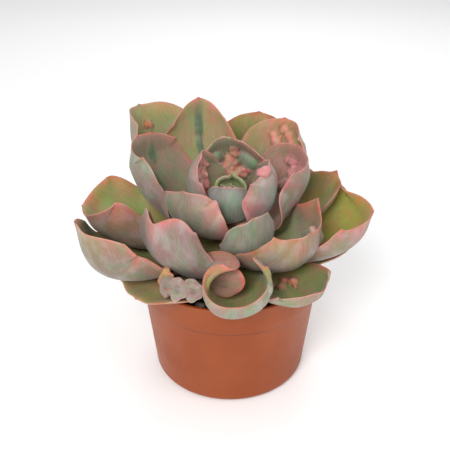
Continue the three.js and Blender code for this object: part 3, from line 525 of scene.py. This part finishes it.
def make_piece(replaced, points, faces, slot, material=None, values=None):
    """A smooth-shaded mesh piece in place of a node of the solids, with point values for its material."""
    name = "fine_" + replaced
    mesh = bpy.data.meshes.new(name)
    mesh.from_pydata((np.asarray(points) * MM).tolist(), [], faces)
    mesh.update()
    for key, value in (values or {}).items():
        kind, field = ("FLOAT", "value") if value.ndim == 1 else ("FLOAT_VECTOR", "vector")
        layer = mesh.attributes.new(key, kind, "POINT")
        layer.data.foreach_set(field, np.ascontiguousarray(value, dtype=np.float32).reshape(-1))
    mesh.polygons.foreach_set("use_smooth", [True] * len(mesh.polygons))
    if material:
        mesh.materials.append(material)
    piece = add_object(name, mesh)
    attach(piece, "root")
    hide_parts(replaced)
    return piece


def ball(divisions):
    """Points and faces of an even ball of radius 1."""
    shape = bmesh.new()
    bmesh.ops.create_icosphere(shape, subdivisions=divisions, radius=1)
    points = np.array([v.co[:] for v in shape.verts])
    faces = [[v.index for v in face.verts] for face in shape.faces]
    shape.free()
    return points, faces


LOBE_BALL = ball(4)


# ---- The finer leaf surface ----
def packed(count):
    """Shares from 0 to 1 that stand closer towards 1."""
    return 1 - (1 - np.linspace(0, 1, count + 1)) ** RIM_PACKING


def settled(sheet, along, across):
    """A leaf's middle sheet, bent as its coarse grid was. along and across: two lists."""
    points, tangent, half = grown_sheet(sheet.leaf, along[:, None], across[None])
    # How much each point of the coarse grid counts for each row and each column of the fine one.
    rows, _ = curve(np.eye(ROWS + 1), along)
    columns, _ = curve(np.eye(COLUMNS + 1), (across + 1) / 2)
    moved = np.einsum("ri,ijk,cj->rck", rows, sheet.at - sheet.grown, columns)
    return points + moved, tangent, half


def face_colours(leaf, seed, place, distance, along, inner):
    """The colour of each point: its face, then the wide zones of blush, then the band along the rim, then a
    painted highlight along the very edge.
    """
    uneven = np.clip(rough_field(3 * place, 3 * along, seed), -2, 2)
    face, base, most = ("inner", "deep", DEEP_SHARE) if inner else ("outer", "below", BELOW_SHARE)
    towards_base = most * (1 - ease((along - 0.3 - 0.12 * uneven) / 0.5))
    colour = blend(linear(leaf[face]), leaf[base], towards_base)
    if inner and "stripe" in leaf:
        tint, centre, width = leaf["stripe"]
        near = 0.75 * bell((place - centre) / width) * ease((along - 0.35) / 0.2)
        colour = blend(colour, tint, near)
    for centre, spread, reach, strength, tint in leaf["blush"]:
        fade = np.exp(-((distance / (reach * (1 + 0.3 * uneven))) ** 1.6))
        colour = blend(colour, tint, strength * bell((place - centre) / spread) * fade)
    band = BAND_WIDTH * leaf["band"] * (1 + 0.45 * rough_field(9 * place, 2 * along, seed + 1))
    colour = blend(colour, leaf["rim"], BAND_SHARE * np.exp(-((distance / np.maximum(band, 0.15)) ** 1.5)))
    # A painted highlight: a pale, broken line along the very edge.
    broken_highlight = ease(0.5 + rough_field(5 * place, along, seed + 2))
    return blend(colour, EDGE_HIGHLIGHT, EDGE_HIGHLIGHT_SHARE * bell(distance / EDGE_HIGHLIGHT_WIDTH) * broken_highlight)


def lobe(sheet, terms, seed):
    """One frilled lobe on a leaf's inner face: points in mm, and how near each is to its own rim."""
    along, across, length, breadth, height, lean, ahead_by = terms
    near = np.array([-KNOB_STEP, 0, KNOB_STEP])
    around_it, _, half = settled(sheet, np.clip(along + near, 0, 1), np.clip(across + near, -1, 1))
    forward = unit(around_it[2, 1] - around_it[0, 1])
    off = unit(np.cross(forward, around_it[1, 2] - around_it[1, 0]))
    origin = around_it[1, 1] + off * half[1, 1]

    shape = LOBE_BALL[0]
    around = np.arctan2(shape[:, 1], shape[:, 0])
    flatness = np.hypot(shape[:, 0], shape[:, 1])
    wavy = (1 - ahead_by) * (0.1 * np.sin(3 * around + seed) + 0.05 * np.sin(6 * around + 2 * seed))
    frill = 1 + (wavy + 0.3 * ahead_by * np.maximum(np.cos(around), 0) ** 4) * flatness**3
    local = shape * np.array([length, breadth, height]) * frill[:, None]
    local[:, 0] += ahead_by * length
    local[:, 2] += flatness**2 * (0.8 * np.sin(2 * around + 3 * seed) + 0.35 * np.sin(7 * around + seed))
    ahead, up = turned(local[:, 0], local[:, 2], math.radians(lean))
    sideways = local[:, 1, None] * np.cross(off, forward)
    return origin + ahead[:, None] * forward + sideways + up[:, None] * off, flatness


def scattered_lumps(knobs, count, seed):
    """Smaller growths round the big ones."""
    rng = np.random.default_rng(seed)
    extra = []
    for along, across, *sizes in knobs:
        for _ in range(count):
            turn = rng.uniform(0, 2 * np.pi)
            size = rng.uniform(*LUMP_SIZES)
            place = along + 0.08 * math.cos(turn), across + 0.16 * math.sin(turn)
            extra.append((*place, *(part * size for part in sizes)))
    return extra


def growths(leaf, down, over, width, length, seed):
    """The growths on an inner face: how many mm they rise, and how near each point is to a growth's top."""
    ribs = leaf.get("ribs")
    knobs = leaf["knobs"]
    if not ribs:
        knobs = knobs + scattered_lumps(knobs, leaf["warts"][0], seed)
    swell = 1.05 if ribs else 1.5
    rise = np.zeros(down.shape)
    top = np.zeros(down.shape)
    for i, (along, across, long, broad, high) in enumerate(knobs):
        x = (over - across) * width
        y = (down - along) * length
        uneven = 1 + 0.22 * rough_field(1.2 * x / broad, 1.2 * y / long, 31 * seed + i, 4)
        near = np.clip(1 - ((x / (swell * broad)) ** 2 + (y / (swell * long)) ** 2) * uneven, 0, 1)
        dome = high * near**0.6
        if ribs:
            dome *= 0.75 + 0.25 * np.sin(y * 2 * np.pi / ribs)
        rise += dome**4
        top = np.maximum(top, near**0.6)
    wrinkles = rough_field(over * width / 1.3, down * length / 1.8, seed + 8, 9)
    return rise**0.25 * (1 + 0.14 * wrinkles), top


def swellings(leaf, down, over, width, length):
    """The smooth swellings of an inner face: how many mm each rises, its share of each point, its tint."""
    for along, across, long, broad, high, tint in leaf["pads"]:
        x = (over - across) * width / broad
        y = (down - along) * length / long
        near = np.sqrt(np.clip(1 - (x * x + y * y) * (1 + 0.15 * rough_field(x, y, 5)), 0, 1))
        yield high * near, ease(near / 0.5), tint


def growth_colours(leaf, colour, top, x, y, seed):
    """The inner face's colours with the growths on it: painted shade in the creases, their own pinks on the
    tops and a painted highlight on the highest tops.
    """
    # Painted shade darkens the creases between the growths, less so between ribs.
    creased = 0.75 * (ease(top / 0.12) * (1 - ease((top - 0.2) / 0.45)))
    if "ribs" in leaf:
        creased = creased * 0.3
    colour = blend(colour, leaf["crease"], creased)
    _, crown, other = leaf["warts"]
    mottled = blend(linear(other), crown, ease(0.5 + 0.8 * rough_field(x / 5, y / 5, seed + 12)))
    colour = blend(colour, mottled, 0.9 * ease((top - 0.3) / 0.4))
    # A painted highlight on the highest tops, except on ribbed leaves.
    return blend(colour, TOP_HIGHLIGHT, (0 if "ribs" in leaf else 0.3) * ease((top - 0.8) / 0.2))


def rim_lift(leaf, down, over, rim, place, free, seed):
    """How many mm the waves, the curl and the small folds of the rim lift each point."""
    # Runs along the whole rim from the stem on one side to the stem on the other.
    around = place + np.sign(over) * np.maximum(leaf["widest"] - down, 0) / leaf["widest"]
    rng = np.random.default_rng(seed)
    waves = rng.uniform(1.6, 2.6), rng.uniform(3.6, 5.4)
    phases = rng.uniform(0, 2 * np.pi, 2)
    long_wave, short_wave = (np.sin(n * np.pi * around + phase) for n, phase in zip(waves, phases))
    lift = RIM_WAVE * (long_wave + 0.45 * short_wave) * rim**4 * free
    lift -= RIM_CURL * np.clip((rim - CURL_START) / 0.14, 0, 1) ** 2 * free
    lift += UNEVENNESS * rough_field(over * 2.2, down * 2.2, seed + 5) * free
    if "crinkle" in leaf:
        height, count = leaf["crinkle"]
        lift += height * rim**3 * free * np.sin(count * np.pi * around + phases[1] + 2 * np.sin(3 * around))
    return lift


def corners(grid):
    """The four corners of each square of a grid of point numbers."""
    return np.stack([grid[:-1, :-1], grid[:-1, 1:], grid[1:, 1:], grid[1:, :-1]], -1)


def leaf_faces(edge):
    """Faces of a blade whose two sides share their points at the edge, closed across the stalk's end."""
    top = np.arange(edge.size).reshape(edge.shape)
    under = top.copy()
    under[~edge] = edge.size + np.arange((~edge).sum())
    faces = corners(top)[..., ::-1].reshape(-1, 4).tolist() + corners(under).reshape(-1, 4).tolist()
    for j in range(edge.shape[1] - 1):
        ring = [top[0, j], top[0, j + 1], under[0, j + 1], under[0, j]]
        faces.append([int(v) for i, v in enumerate(ring) if v not in ring[:i]])
    return faces


def leaf_piece(name, sheet, seed):
    """The fine piece of a leaf: both faces of its blade, and its lobes."""
    leaf = sheet.leaf
    widest = leaf["widest"]
    finer = 2 if "warts" in leaf else 1
    lower = np.linspace(0, widest, finer * LOWER_ROWS + 1)
    along = np.concatenate([lower, widest + (1 - widest) * packed(finer * UPPER_ROWS)[1:]])
    side = packed(finer * HALF_COLUMNS)
    across = np.concatenate([-side[:0:-1], side])
    points, tangent, half = settled(sheet, along, across)
    normals = sheet_normals(points)

    down, over = np.broadcast_arrays(along[:, None], across[None])
    cap, rim, place = rim_terms(leaf, down, over)
    edge = rim > 1 - 1e-6
    free = ease((down - FREE_FROM) / FREE_WITHIN)
    points = points + normals * rim_lift(leaf, down, over, rim, place, free, seed)[..., None]
    sharp = bell(over / MUCRO_SPREAD) * ease((cap - 0.8) / 0.2)
    points = points + tangent * (MUCRO * sharp)[..., None]
    normals = sheet_normals(points)

    half = half + leaf["lip"] * bell((LIP_AT - rim) / LIP_SPREAD) * free
    half = half * np.sqrt(np.maximum(1 - rim**RIM_ROUNDING, 0))
    length = np.linalg.norm(np.diff(points[:, len(across) // 2], axis=0), axis=1).sum()
    width = by_side(leaf["half"], over)
    x, y = over * width, down * length
    raised = np.zeros(down.shape)
    if "warts" in leaf:
        raised, top_share = growths(leaf, down, over, width, length, seed)
    pads = list(swellings(leaf, down, over, width, length))
    for rise, _, _ in pads:
        raised = np.maximum(raised, rise)
    raised = raised * (1 - rim**8)
    ribbed = np.zeros(down.shape)
    if "outer_ribs" in leaf:
        depth, spacing, ribbed_side = leaf["outer_ribs"]
        on_side = ease((ribbed_side * over - 0.35) / 0.25) * (1 - rim**10) * free
        ribbed = depth * on_side * np.sin(2 * np.pi * (y + 0.35 * x) / spacing)

    distance = (1 - rim) * width
    inner_tint = face_colours(leaf, seed, place, distance, down, True)
    outer_tint = face_colours(leaf, seed, place, distance, down, False)
    if "warts" in leaf:
        inner_tint = growth_colours(leaf, inner_tint, top_share * (1 - rim**8), x, y, seed)
    for _, share, tint in pads:
        inner_tint = blend(inner_tint, tint, 0.85 * share * (1 - rim**12))
    if "outer_ribs" in leaf:
        # Painted shade darkens the grooves between the outer ribs.
        outer_tint = blend(outer_tint, RIB_SHADE, 0.45 * ease(-ribbed / depth))
    point = TIP_SHARE * bell(x / TIP_WIDTH) * ease(1 - distance / TIP_LENGTH) * (cap > 0.5)
    grain = np.stack([x, y, np.full(over.shape, LEAVES_APART * seed)], -1)

    faces = leaf_faces(edge)
    inner_face = points + normals * (half + raised)[..., None]
    outer_face = points - normals * (half + ribbed)[..., None]
    inner_tint, outer_tint = blend(inner_tint, TIP_BROWN, point), blend(outer_tint, TIP_BROWN, point)
    under = grain[~edge] + np.array([0, 0, FACES_APART])
    inside = [grid.reshape(-1, 3) for grid in (inner_face, inner_tint, grain)]
    parts = [
        (*inside, [INNER_BARE] * rim.size),
        (outer_face[~edge], outer_tint[~edge], under, [0] * len(under)),
    ]
    for i, (*terms, ground, tip) in enumerate(leaf["lobes"]):
        at, near_rim = lobe(sheet, terms, seed * 10 + i)
        # Painted shade darkens the middle of the flatter lobes.
        flat = np.clip(terms[2] / terms[4] - 1.5, 0, 1)
        creased = (1 - ease((near_rim - 0.15) / 0.4)) * 0.5 * flat
        tinted = blend(linear(ground), CREASE_SHADE, creased)
        tinted = blend(tinted, tip, ease((near_rim - 0.82) / 0.18))
        count = sum(len(part[0]) for part in parts)
        faces += [[v + count for v in face] for face in LOBE_BALL[1]]
        parts.append((at, tinted, at + LOBES_APART * i, [LOBE_BARE] * len(at)))
    points, tint, grain, bare = (np.concatenate(column) for column in zip(*parts))
    slot = "leaf_" + name.split("_")[0]
    values = {"tint": tint, "grain": grain, "bare": bare}
    make_piece("leaf_" + name, points, faces, slot, LEAF_MATERIAL, values)


# ---- Materials ----
class Look:
    """A material built from shader nodes."""

    def __init__(self, name):
        self.material = bpy.data.materials.new(name)
        self.material.use_nodes = True
        self.tree = self.material.node_tree

    def put(self, socket, value):
        """Links an input, or sets it to a number, a vector or a colour of 0 to 255."""
        if isinstance(value, bpy.types.NodeSocket):
            self.tree.links.new(value, socket)
        elif isinstance(value, tuple) and len(socket.default_value) == 4:
            socket.default_value = (*linear(value), 1)
        else:
            socket.default_value = value

    def node(self, kind, inputs, output=0, **settings):
        """Adds a node and gives one of its outputs."""
        node = self.tree.nodes.new("ShaderNode" + kind)
        for key, value in settings.items():
            setattr(node, key, value)
        for key, value in inputs.items():
            self.put(node.inputs[key], value)
        return node.outputs[output]

    def here(self):
        return self.node("TexCoord", {}, "Object")

    def noise(self, where, scale, detail=3, roughness=0.55):
        inputs = {"Vector": where, "Scale": scale, "Detail": detail, "Roughness": roughness}
        return self.node("TexNoise", inputs, "Fac")

    def stretched(self, where, scale):
        """Coordinates made denser by a factor along each axis."""
        return self.node("VectorMath", {0: where, 1: scale}, operation="MULTIPLY")

    def ranged(self, value, low, high, new_low=0, new_high=1):
        """A value's way from low to high, as a smooth way from new_low to new_high."""
        inputs = dict(enumerate((value, low, high, new_low, new_high)))
        return self.node("MapRange", inputs, interpolation_type="SMOOTHSTEP")

    def maths(self, operation, a, b):
        return self.node("Math", {0: a, 1: b}, operation=operation)

    def mix(self, share, a, b, blend_type="MIX"):
        return self.node("Mix", {0: share, 6: a, 7: b}, 2, data_type="RGBA", blend_type=blend_type)

    def stained(self, share, colour, tint):
        """A colour with a tint multiplied into a share of it."""
        return self.mix(share, colour, self.mix(1.0, colour, tint, "MULTIPLY"))

    def bump(self, height, strength, distance):
        return self.node("Bump", {"Height": height, "Strength": strength, "Distance": distance})

    def finish(self, **values):
        surface = self.tree.nodes["Principled BSDF"]
        for key, value in values.items():
            self.put(surface.inputs[key.replace("_", " ")], value)
        return self.material


def leaf_material():
    look = Look("waxy_leaf")
    grain = look.node("Attribute", {}, "Vector", attribute_name="grain")
    tint = look.node("Attribute", {}, "Color", attribute_name="tint")
    bare = look.node("Attribute", {}, "Fac", attribute_name="bare")
    streak = look.noise(look.stretched(grain, (1.5, 0.06, 1)), 1, 3)
    fine = look.noise(look.stretched(grain, (5.5, 0.25, 1)), 1, 4, 0.65)
    patches = look.noise(look.stretched(grain, (0.14, 0.07, 1)), 1, 2)
    drift = look.noise(look.stretched(grain, (0.12, 0.06, 0.7)), 1, 3)
    specks = look.noise(grain, 2.4, 2)
    greener = look.mix(1.0, tint, (224, 244, 218), "MULTIPLY")
    pinker = look.mix(1.0, tint, (252, 227, 232), "MULTIPLY")
    colour = look.mix(look.ranged(drift, 0.36, 0.64), greener, pinker)
    colour = look.stained(look.ranged(streak, 0.32, 0.7, 0, 0.6), colour, (232, 222, 226))
    colour = look.stained(look.ranged(fine, 0.5, 0.74, 0, 0.36), colour, (202, 210, 196))
    colour = look.mix(look.ranged(fine, 0.48, 0.3, 0, 0.22), colour, (206, 200, 188))
    waxed = look.maths("SUBTRACT", 1.0, bare)
    waxy = look.maths("MULTIPLY", look.ranged(patches, 0.38, 0.72, 0, 0.26), waxed)
    colour = look.mix(waxy, colour, (176, 184, 180))
    colour = look.stained(look.ranged(specks, 0.7, 0.8, 0, 0.35), colour, (214, 200, 180))
    height = look.maths("ADD", look.maths("MULTIPLY", streak, 0.5), look.maths("MULTIPLY", fine, 0.3))
    return look.finish(
        Base_Color=colour, Roughness=look.ranged(patches, 0.3, 0.7, 0.62, 0.46),
        Normal=look.bump(height, 0.35, 0.0005), IOR=1.4, Subsurface_Weight=0.12,
        Subsurface_Radius=(1.0, 0.6, 0.35), Subsurface_Scale=0.003, Sheen_Weight=0.12, Sheen_Roughness=0.5,
    )


def pot_material():
    look = Look("terracotta_plastic")
    where = look.here()
    cloudy = look.noise(where, 28, 4)
    fine = look.noise(where, 900, 2)
    colour = look.mix(look.ranged(cloudy, 0.35, 0.68), (145, 65, 12), (138, 60, 10))
    rubbed = look.noise(look.stretched(where, (1, 1, 5)), 60, 5, 0.7)
    colour = look.mix(look.ranged(rubbed, 0.6, 0.78, 0, 0.3), colour, (154, 78, 24))
    # Painted shade: a thin dark line at the band's step.
    height = look.node("SeparateXYZ", {0: where}, "Z")
    above = look.ranged(height, (BAND_HEIGHT - 1.2) * MM, BAND_HEIGHT * MM)
    below = look.ranged(height, BAND_HEIGHT * MM, (BAND_HEIGHT + BAND_STEP) * MM, 1, 0)
    step_shade = look.maths("MULTIPLY", look.maths("MULTIPLY", above, below), 0.6)
    return look.finish(
        Base_Color=look.mix(step_shade, colour, (92, 40, 14)),
        Roughness=look.ranged(cloudy, 0.3, 0.7, 0.42, 0.56), Normal=look.bump(fine, 0.12, 0.0002),
        IOR=1.46, Subsurface_Weight=0.05, Subsurface_Radius=(1.0, 0.4, 0.2), Subsurface_Scale=0.002,
    )


def soil_material():
    look = Look("peat")
    where = look.here()
    lumps = look.noise(where, 240, 6, 0.7)
    fibres = look.noise(look.stretched(where, (1, 4, 1)), 420, 3)
    colour = look.mix(look.ranged(lumps, 0.35, 0.7), (34, 25, 20), (78, 58, 44))
    return look.finish(
        Base_Color=look.mix(look.ranged(fibres, 0.66, 0.74, 0, 0.7), colour, (128, 104, 78)),
        Roughness=look.ranged(lumps, 0.3, 0.7, 0.95, 0.8), Normal=look.bump(lumps, 0.8, 0.001), IOR=1.35,
    )


def stone_material():
    look = Look("pebble_stone")
    speckle = look.noise(look.here(), 1500, 3)
    colour = look.mix(look.ranged(speckle, 0.4, 0.65), (120, 114, 108), (172, 166, 158))
    return look.finish(Base_Color=colour, Roughness=look.ranged(speckle, 0.3, 0.7, 0.8, 0.65), IOR=1.45)


def stem_material():
    look = Look("stem_skin")
    rings = look.noise(look.stretched(look.here(), (1, 1, 3)), 160, 4)
    colour = look.mix(look.ranged(rings, 0.35, 0.65), (96, 104, 62), (140, 128, 92))
    roughness = look.ranged(rings, 0.3, 0.7, 0.7, 0.55)
    return look.finish(Base_Color=colour, Roughness=roughness, Normal=look.bump(rings, 0.4, 0.0006))


LEAF_MATERIAL = leaf_material()


# ---- Pot ----
def arc(radius, centre, start, end, steps):
    """Points of an arc in the plane of distance and height, between two angles in degrees."""
    angles = np.radians(np.linspace(start, end, steps))
    return [(centre[0] + radius * math.cos(a), centre[1] + radius * math.sin(a)) for a in angles]


def band_radius(height):
    return BASE_RADIUS + (RIM_RADIUS - BASE_RADIUS) * (height - FOOT_ROUND) / (POT_HEIGHT - FOOT_ROUND)


def wall_radius(height):
    """Outside, below the band."""
    return band_radius(height) - BAND_STEP


def hollow_radius(height):
    return wall_radius(height) - WALL


def lathe(profile, sides):
    """Points and faces of a profile turned round the upright axis; its ends stand on the axis."""
    turns = np.linspace(0, 2 * np.pi, sides, endpoint=False)
    points = [(0, 0, profile[0][1])]
    for radius, height in profile[1:-1]:
        points += [(radius * math.cos(t), radius * math.sin(t), height) for t in turns]
    points.append((0, 0, profile[-1][1]))
    faces = []
    last = len(points) - 1
    for i in range(sides):
        j = (i + 1) % sides
        faces += [[0, 1 + j, 1 + i], [last, last - sides + i, last - sides + j]]
        for ring in range(1, last - sides, sides):
            faces.append([ring + i, ring + j, ring + sides + j, ring + sides + i])
    return np.array(points), faces


def channel_cutter(turn):
    """One channel of the foot and its drain hole, as an object to cut away."""
    shape = bmesh.new()
    bmesh.ops.create_cube(shape, size=1)
    length = RIM_RADIUS - SLOT_START
    for v in shape.verts:
        v.co = (SLOT_START + (v.co.x + 0.5) * length, v.co.y * SLOT_WIDTH, v.co.z * 2 * SLOT_DEPTH)
    ceiling = []
    for edge in shape.edges:
        step = edge.verts[0].co - edge.verts[1].co
        if abs(step.y) < 1 and abs(step.z) < 1 and edge.verts[0].co.z > 0:
            ceiling.append(edge)
    bmesh.ops.bevel(shape, geom=ceiling, offset=SLOT_ROUND, segments=3, affect="EDGES")
    drain = bmesh.ops.create_cone(
        shape, segments=32, radius1=DRAIN_RADIUS, radius2=DRAIN_RADIUS, depth=FLOOR + 4, cap_ends=True,
    )
    for v in drain["verts"]:
        v.co.x += DRAIN_AT
        v.co.z += FLOOR / 2 + 0.6
    for v in shape.verts:
        x, y = turned(v.co.x, v.co.y, turn)
        v.co = (x * MM, y * MM, v.co.z * MM)
    mesh = bpy.data.meshes.new("cutter")
    shape.to_mesh(mesh)
    shape.free()
    return add_object("cutter", mesh)


def pot_piece():
    foot, hollow = wall_radius(FOOT_ROUND), hollow_radius(FOOT_ROUND)
    hollow_round = FOOT_ROUND - WALL
    profile = [(0, 0), (SLOT_START - 1, 0)]
    profile += arc(FOOT_ROUND, (foot - FOOT_ROUND, FOOT_ROUND), -90, 0, 10)
    profile += [(wall_radius(h), h) for h in (20, 35, 50, BAND_HEIGHT - 0.6)]
    for out, up in ((0.06, -0.12), (0.3, 0.2)):
        profile.append((wall_radius(BAND_HEIGHT) + out, BAND_HEIGHT + up))
    profile.append((band_radius(BAND_HEIGHT + 0.5) - 0.12, BAND_HEIGHT + 0.5))
    profile += [(band_radius(h), h) for h in (BAND_HEIGHT + 1, 66, 72, 77)]
    profile += arc(EDGE_ROUND, (RIM_RADIUS - EDGE_ROUND, POT_HEIGHT - EDGE_ROUND), 8, 90, 6)
    inner_edge = (hollow_radius(POT_HEIGHT) + INNER_EDGE_ROUND, POT_HEIGHT - INNER_EDGE_ROUND)
    profile += arc(INNER_EDGE_ROUND, inner_edge, 90, 180, 5)
    profile += [(hollow_radius(h), h) for h in (70, 50, 30)]
    profile += arc(hollow_round, (hollow - hollow_round, FLOOR + hollow_round), 0, -90, 8)
    profile += [(DRAIN_AT, FLOOR), (0, FLOOR)]
    piece = make_piece("pot", *lathe(profile, POT_SIDES), "pot_plastic")
    for slot in range(SLOTS):
        cutter = channel_cutter(math.radians(SLOT_TURN + slot * 360 / SLOTS))
        cut = piece.modifiers.new("channel", "BOOLEAN")
        cut.object = cutter
        cut.operation = "DIFFERENCE"
        cut.solver = "EXACT"
        evaluated = piece.evaluated_get(bpy.context.evaluated_depsgraph_get())
        carved = bpy.data.meshes.new_from_object(evaluated)
        piece.modifiers.clear()
        piece.data = carved
        bpy.data.objects.remove(cutter)
    piece.data.polygons.foreach_set("use_smooth", [True] * len(piece.data.polygons))
    piece.data.set_sharp_from_angle(angle=math.radians(SHARP_ANGLE))
    piece.data.materials.clear()
    piece.data.materials.append(pot_material())


# ---- Soil and pebble ----
def soil_height(x, y):
    return 0.45 * rough_field(x / 6, y / 6, 3) + 0.35 * rough_field(x / 2.2, y / 2.2, 4)


def soil_radius(height):
    return hollow_radius(height) - CLEAR


def soil_piece():
    low, foot_round = FLOOR + CLEAR, FOOT_ROUND - WALL
    foot = soil_radius(FOOT_ROUND)
    profile = [(0, low)] + arc(foot_round, (foot - foot_round, low + foot_round), -90, 0, 6)
    profile += [(soil_radius(40), 40), (soil_radius(SOIL_TOP), SOIL_TOP - 1.2)]
    profile += [(soil_radius(SOIL_TOP) * share, SOIL_TOP) for share in np.linspace(0.985, 0.12, 30)]
    points, faces = lathe(profile + [(0, SOIL_TOP)], SOIL_SIDES)
    on_top = points[:, 2] > SOIL_TOP - 0.5
    points[on_top, 2] += soil_height(points[on_top, 0], points[on_top, 1])
    rng = np.random.default_rng(21)
    shape, shape_faces = ball(1)
    parts, count = [points], len(points)
    for _ in range(CRUMBS):
        distance = soil_radius(SOIL_TOP) * math.sqrt(rng.uniform(0.02, 0.93))
        turn = rng.uniform(0, 2 * np.pi)
        x, y = distance * math.cos(turn), distance * math.sin(turn)
        if math.hypot(x - PEBBLE["x"], y - PEBBLE["y"]) < PEBBLE["across"] + 0.8:
            continue
        size = rng.uniform(*CRUMB_SIZES) * np.array([1, rng.uniform(0.5, 1), rng.uniform(0.4, 0.8)])
        crumb = shape * (1 + 0.25 * rng.uniform(-1, 1, (len(shape), 1))) * size
        crumb[:, 0], crumb[:, 1] = turned(crumb[:, 0], crumb[:, 1], rng.uniform(0, 2 * np.pi))
        ground = SOIL_TOP + float(soil_height(np.array([x]), np.array([y]))[0])
        parts.append(crumb + np.array([x, y, ground + 0.2 * size[2]]))
        faces += [[v + count for v in face] for face in shape_faces]
        count += len(shape)
    make_piece("soil", np.concatenate(parts), faces, "soil", soil_material())


def pebble_piece():
    shape, faces = ball(3)
    lumps = 1 + 0.06 * rough_field(shape[:, 0] + shape[:, 2], shape[:, 1] - shape[:, 2], 9)
    size = np.array([PEBBLE["across"], PEBBLE["across"] * 0.92, PEBBLE["high"]])
    points = shape * size * lumps[:, None] + np.array([PEBBLE["x"], PEBBLE["y"], SOIL_TOP + 0.2])
    make_piece("pebble", points, faces, "pebble", stone_material())


# ---- Camera, lights and floor ----
VIEW_HEIGHT = 104.1  # the camera looks at this height on the pot's axis
VIEW_DISTANCE = 450
VIEW_RISE = 29.2  # degrees
VIEW_ASIDE = -3.2  # the photo's middle is this far left of the pot's axis
FIELD_OF_VIEW = 35.7  # degrees
LAMP_TARGET = (0, 0, 90 * MM)
LAMPS = {  # place and size in metres, and power
    "key": ((-0.35, -1.0, 0.95), 0.6, 12.5),
    "fill": ((0.9, -0.5, 0.6), 0.8, 2.5),
    "back": ((0.1, 0.9, 0.8), 0.8, 2.5),
}
SKY_STRENGTH = 0.66
FLOOR_HALF = 3.0  # metres
FLOOR_WHITE = [0.97, 0.97, 0.97, 1]  # linear


def add_looking(data, place, target):
    """Adds a camera or lamp that looks from a place at a target, both in metres."""
    thing = add_object(data.name, data)
    thing.location = place
    ahead = np.array(target) - np.array(thing.location)
    rise = math.atan2(ahead[2], math.hypot(ahead[0], ahead[1]))
    thing.rotation_euler = (math.pi / 2 + rise, 0, math.atan2(ahead[1], ahead[0]) - math.pi / 2)
    return thing


def stage():
    scene = bpy.context.scene
    rise = math.radians(VIEW_RISE)
    back, up = VIEW_DISTANCE * math.cos(rise), VIEW_HEIGHT + VIEW_DISTANCE * math.sin(rise)
    lens = bpy.data.cameras.new("camera")
    lens.angle = math.radians(FIELD_OF_VIEW)
    lens.clip_start = 0.01
    place, target = (VIEW_ASIDE * MM, -back * MM, up * MM), (VIEW_ASIDE * MM, 0, VIEW_HEIGHT * MM)
    scene.camera = add_looking(lens, place, target)
    for name, (place, size, power) in LAMPS.items():
        light = bpy.data.lights.new(name, "AREA")
        light.shape = "DISK"
        light.size = size
        light.energy = power
        add_looking(light, place, LAMP_TARGET)
    scene.world = bpy.data.worlds.new("studio")
    scene.world.use_nodes = True
    sky = scene.world.node_tree.nodes["Background"].inputs
    sky["Color"].default_value = (1, 1, 1, 1)
    sky["Strength"].default_value = SKY_STRENGTH
    scene.view_settings.view_transform = "Standard"

    mesh = bpy.data.meshes.new("floor")
    square = [(x * FLOOR_HALF, y * FLOOR_HALF, 0) for x, y in ((-1, -1), (1, -1), (1, 1), (-1, 1))]
    mesh.from_pydata(square, [], [(0, 1, 2, 3)])
    floor = add_object("floor", mesh)
    floor.data.materials.append(Look("floor_white").finish(Base_Color=FLOOR_WHITE, Roughness=0.8))


# ---- Making everything ----
stage()
sheets = {name: Sheet(leaf) for name, leaf in LEAVES.items()}
bend_clear(list(sheets.values()))
for number, (name, sheet) in enumerate(sheets.items()):
    leaf_piece(name, sheet, number + 1)
pot_piece()
soil_piece()
pebble_piece()
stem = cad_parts["stem"]
stem.data.materials.clear()
stem.data.materials.append(stem_material())

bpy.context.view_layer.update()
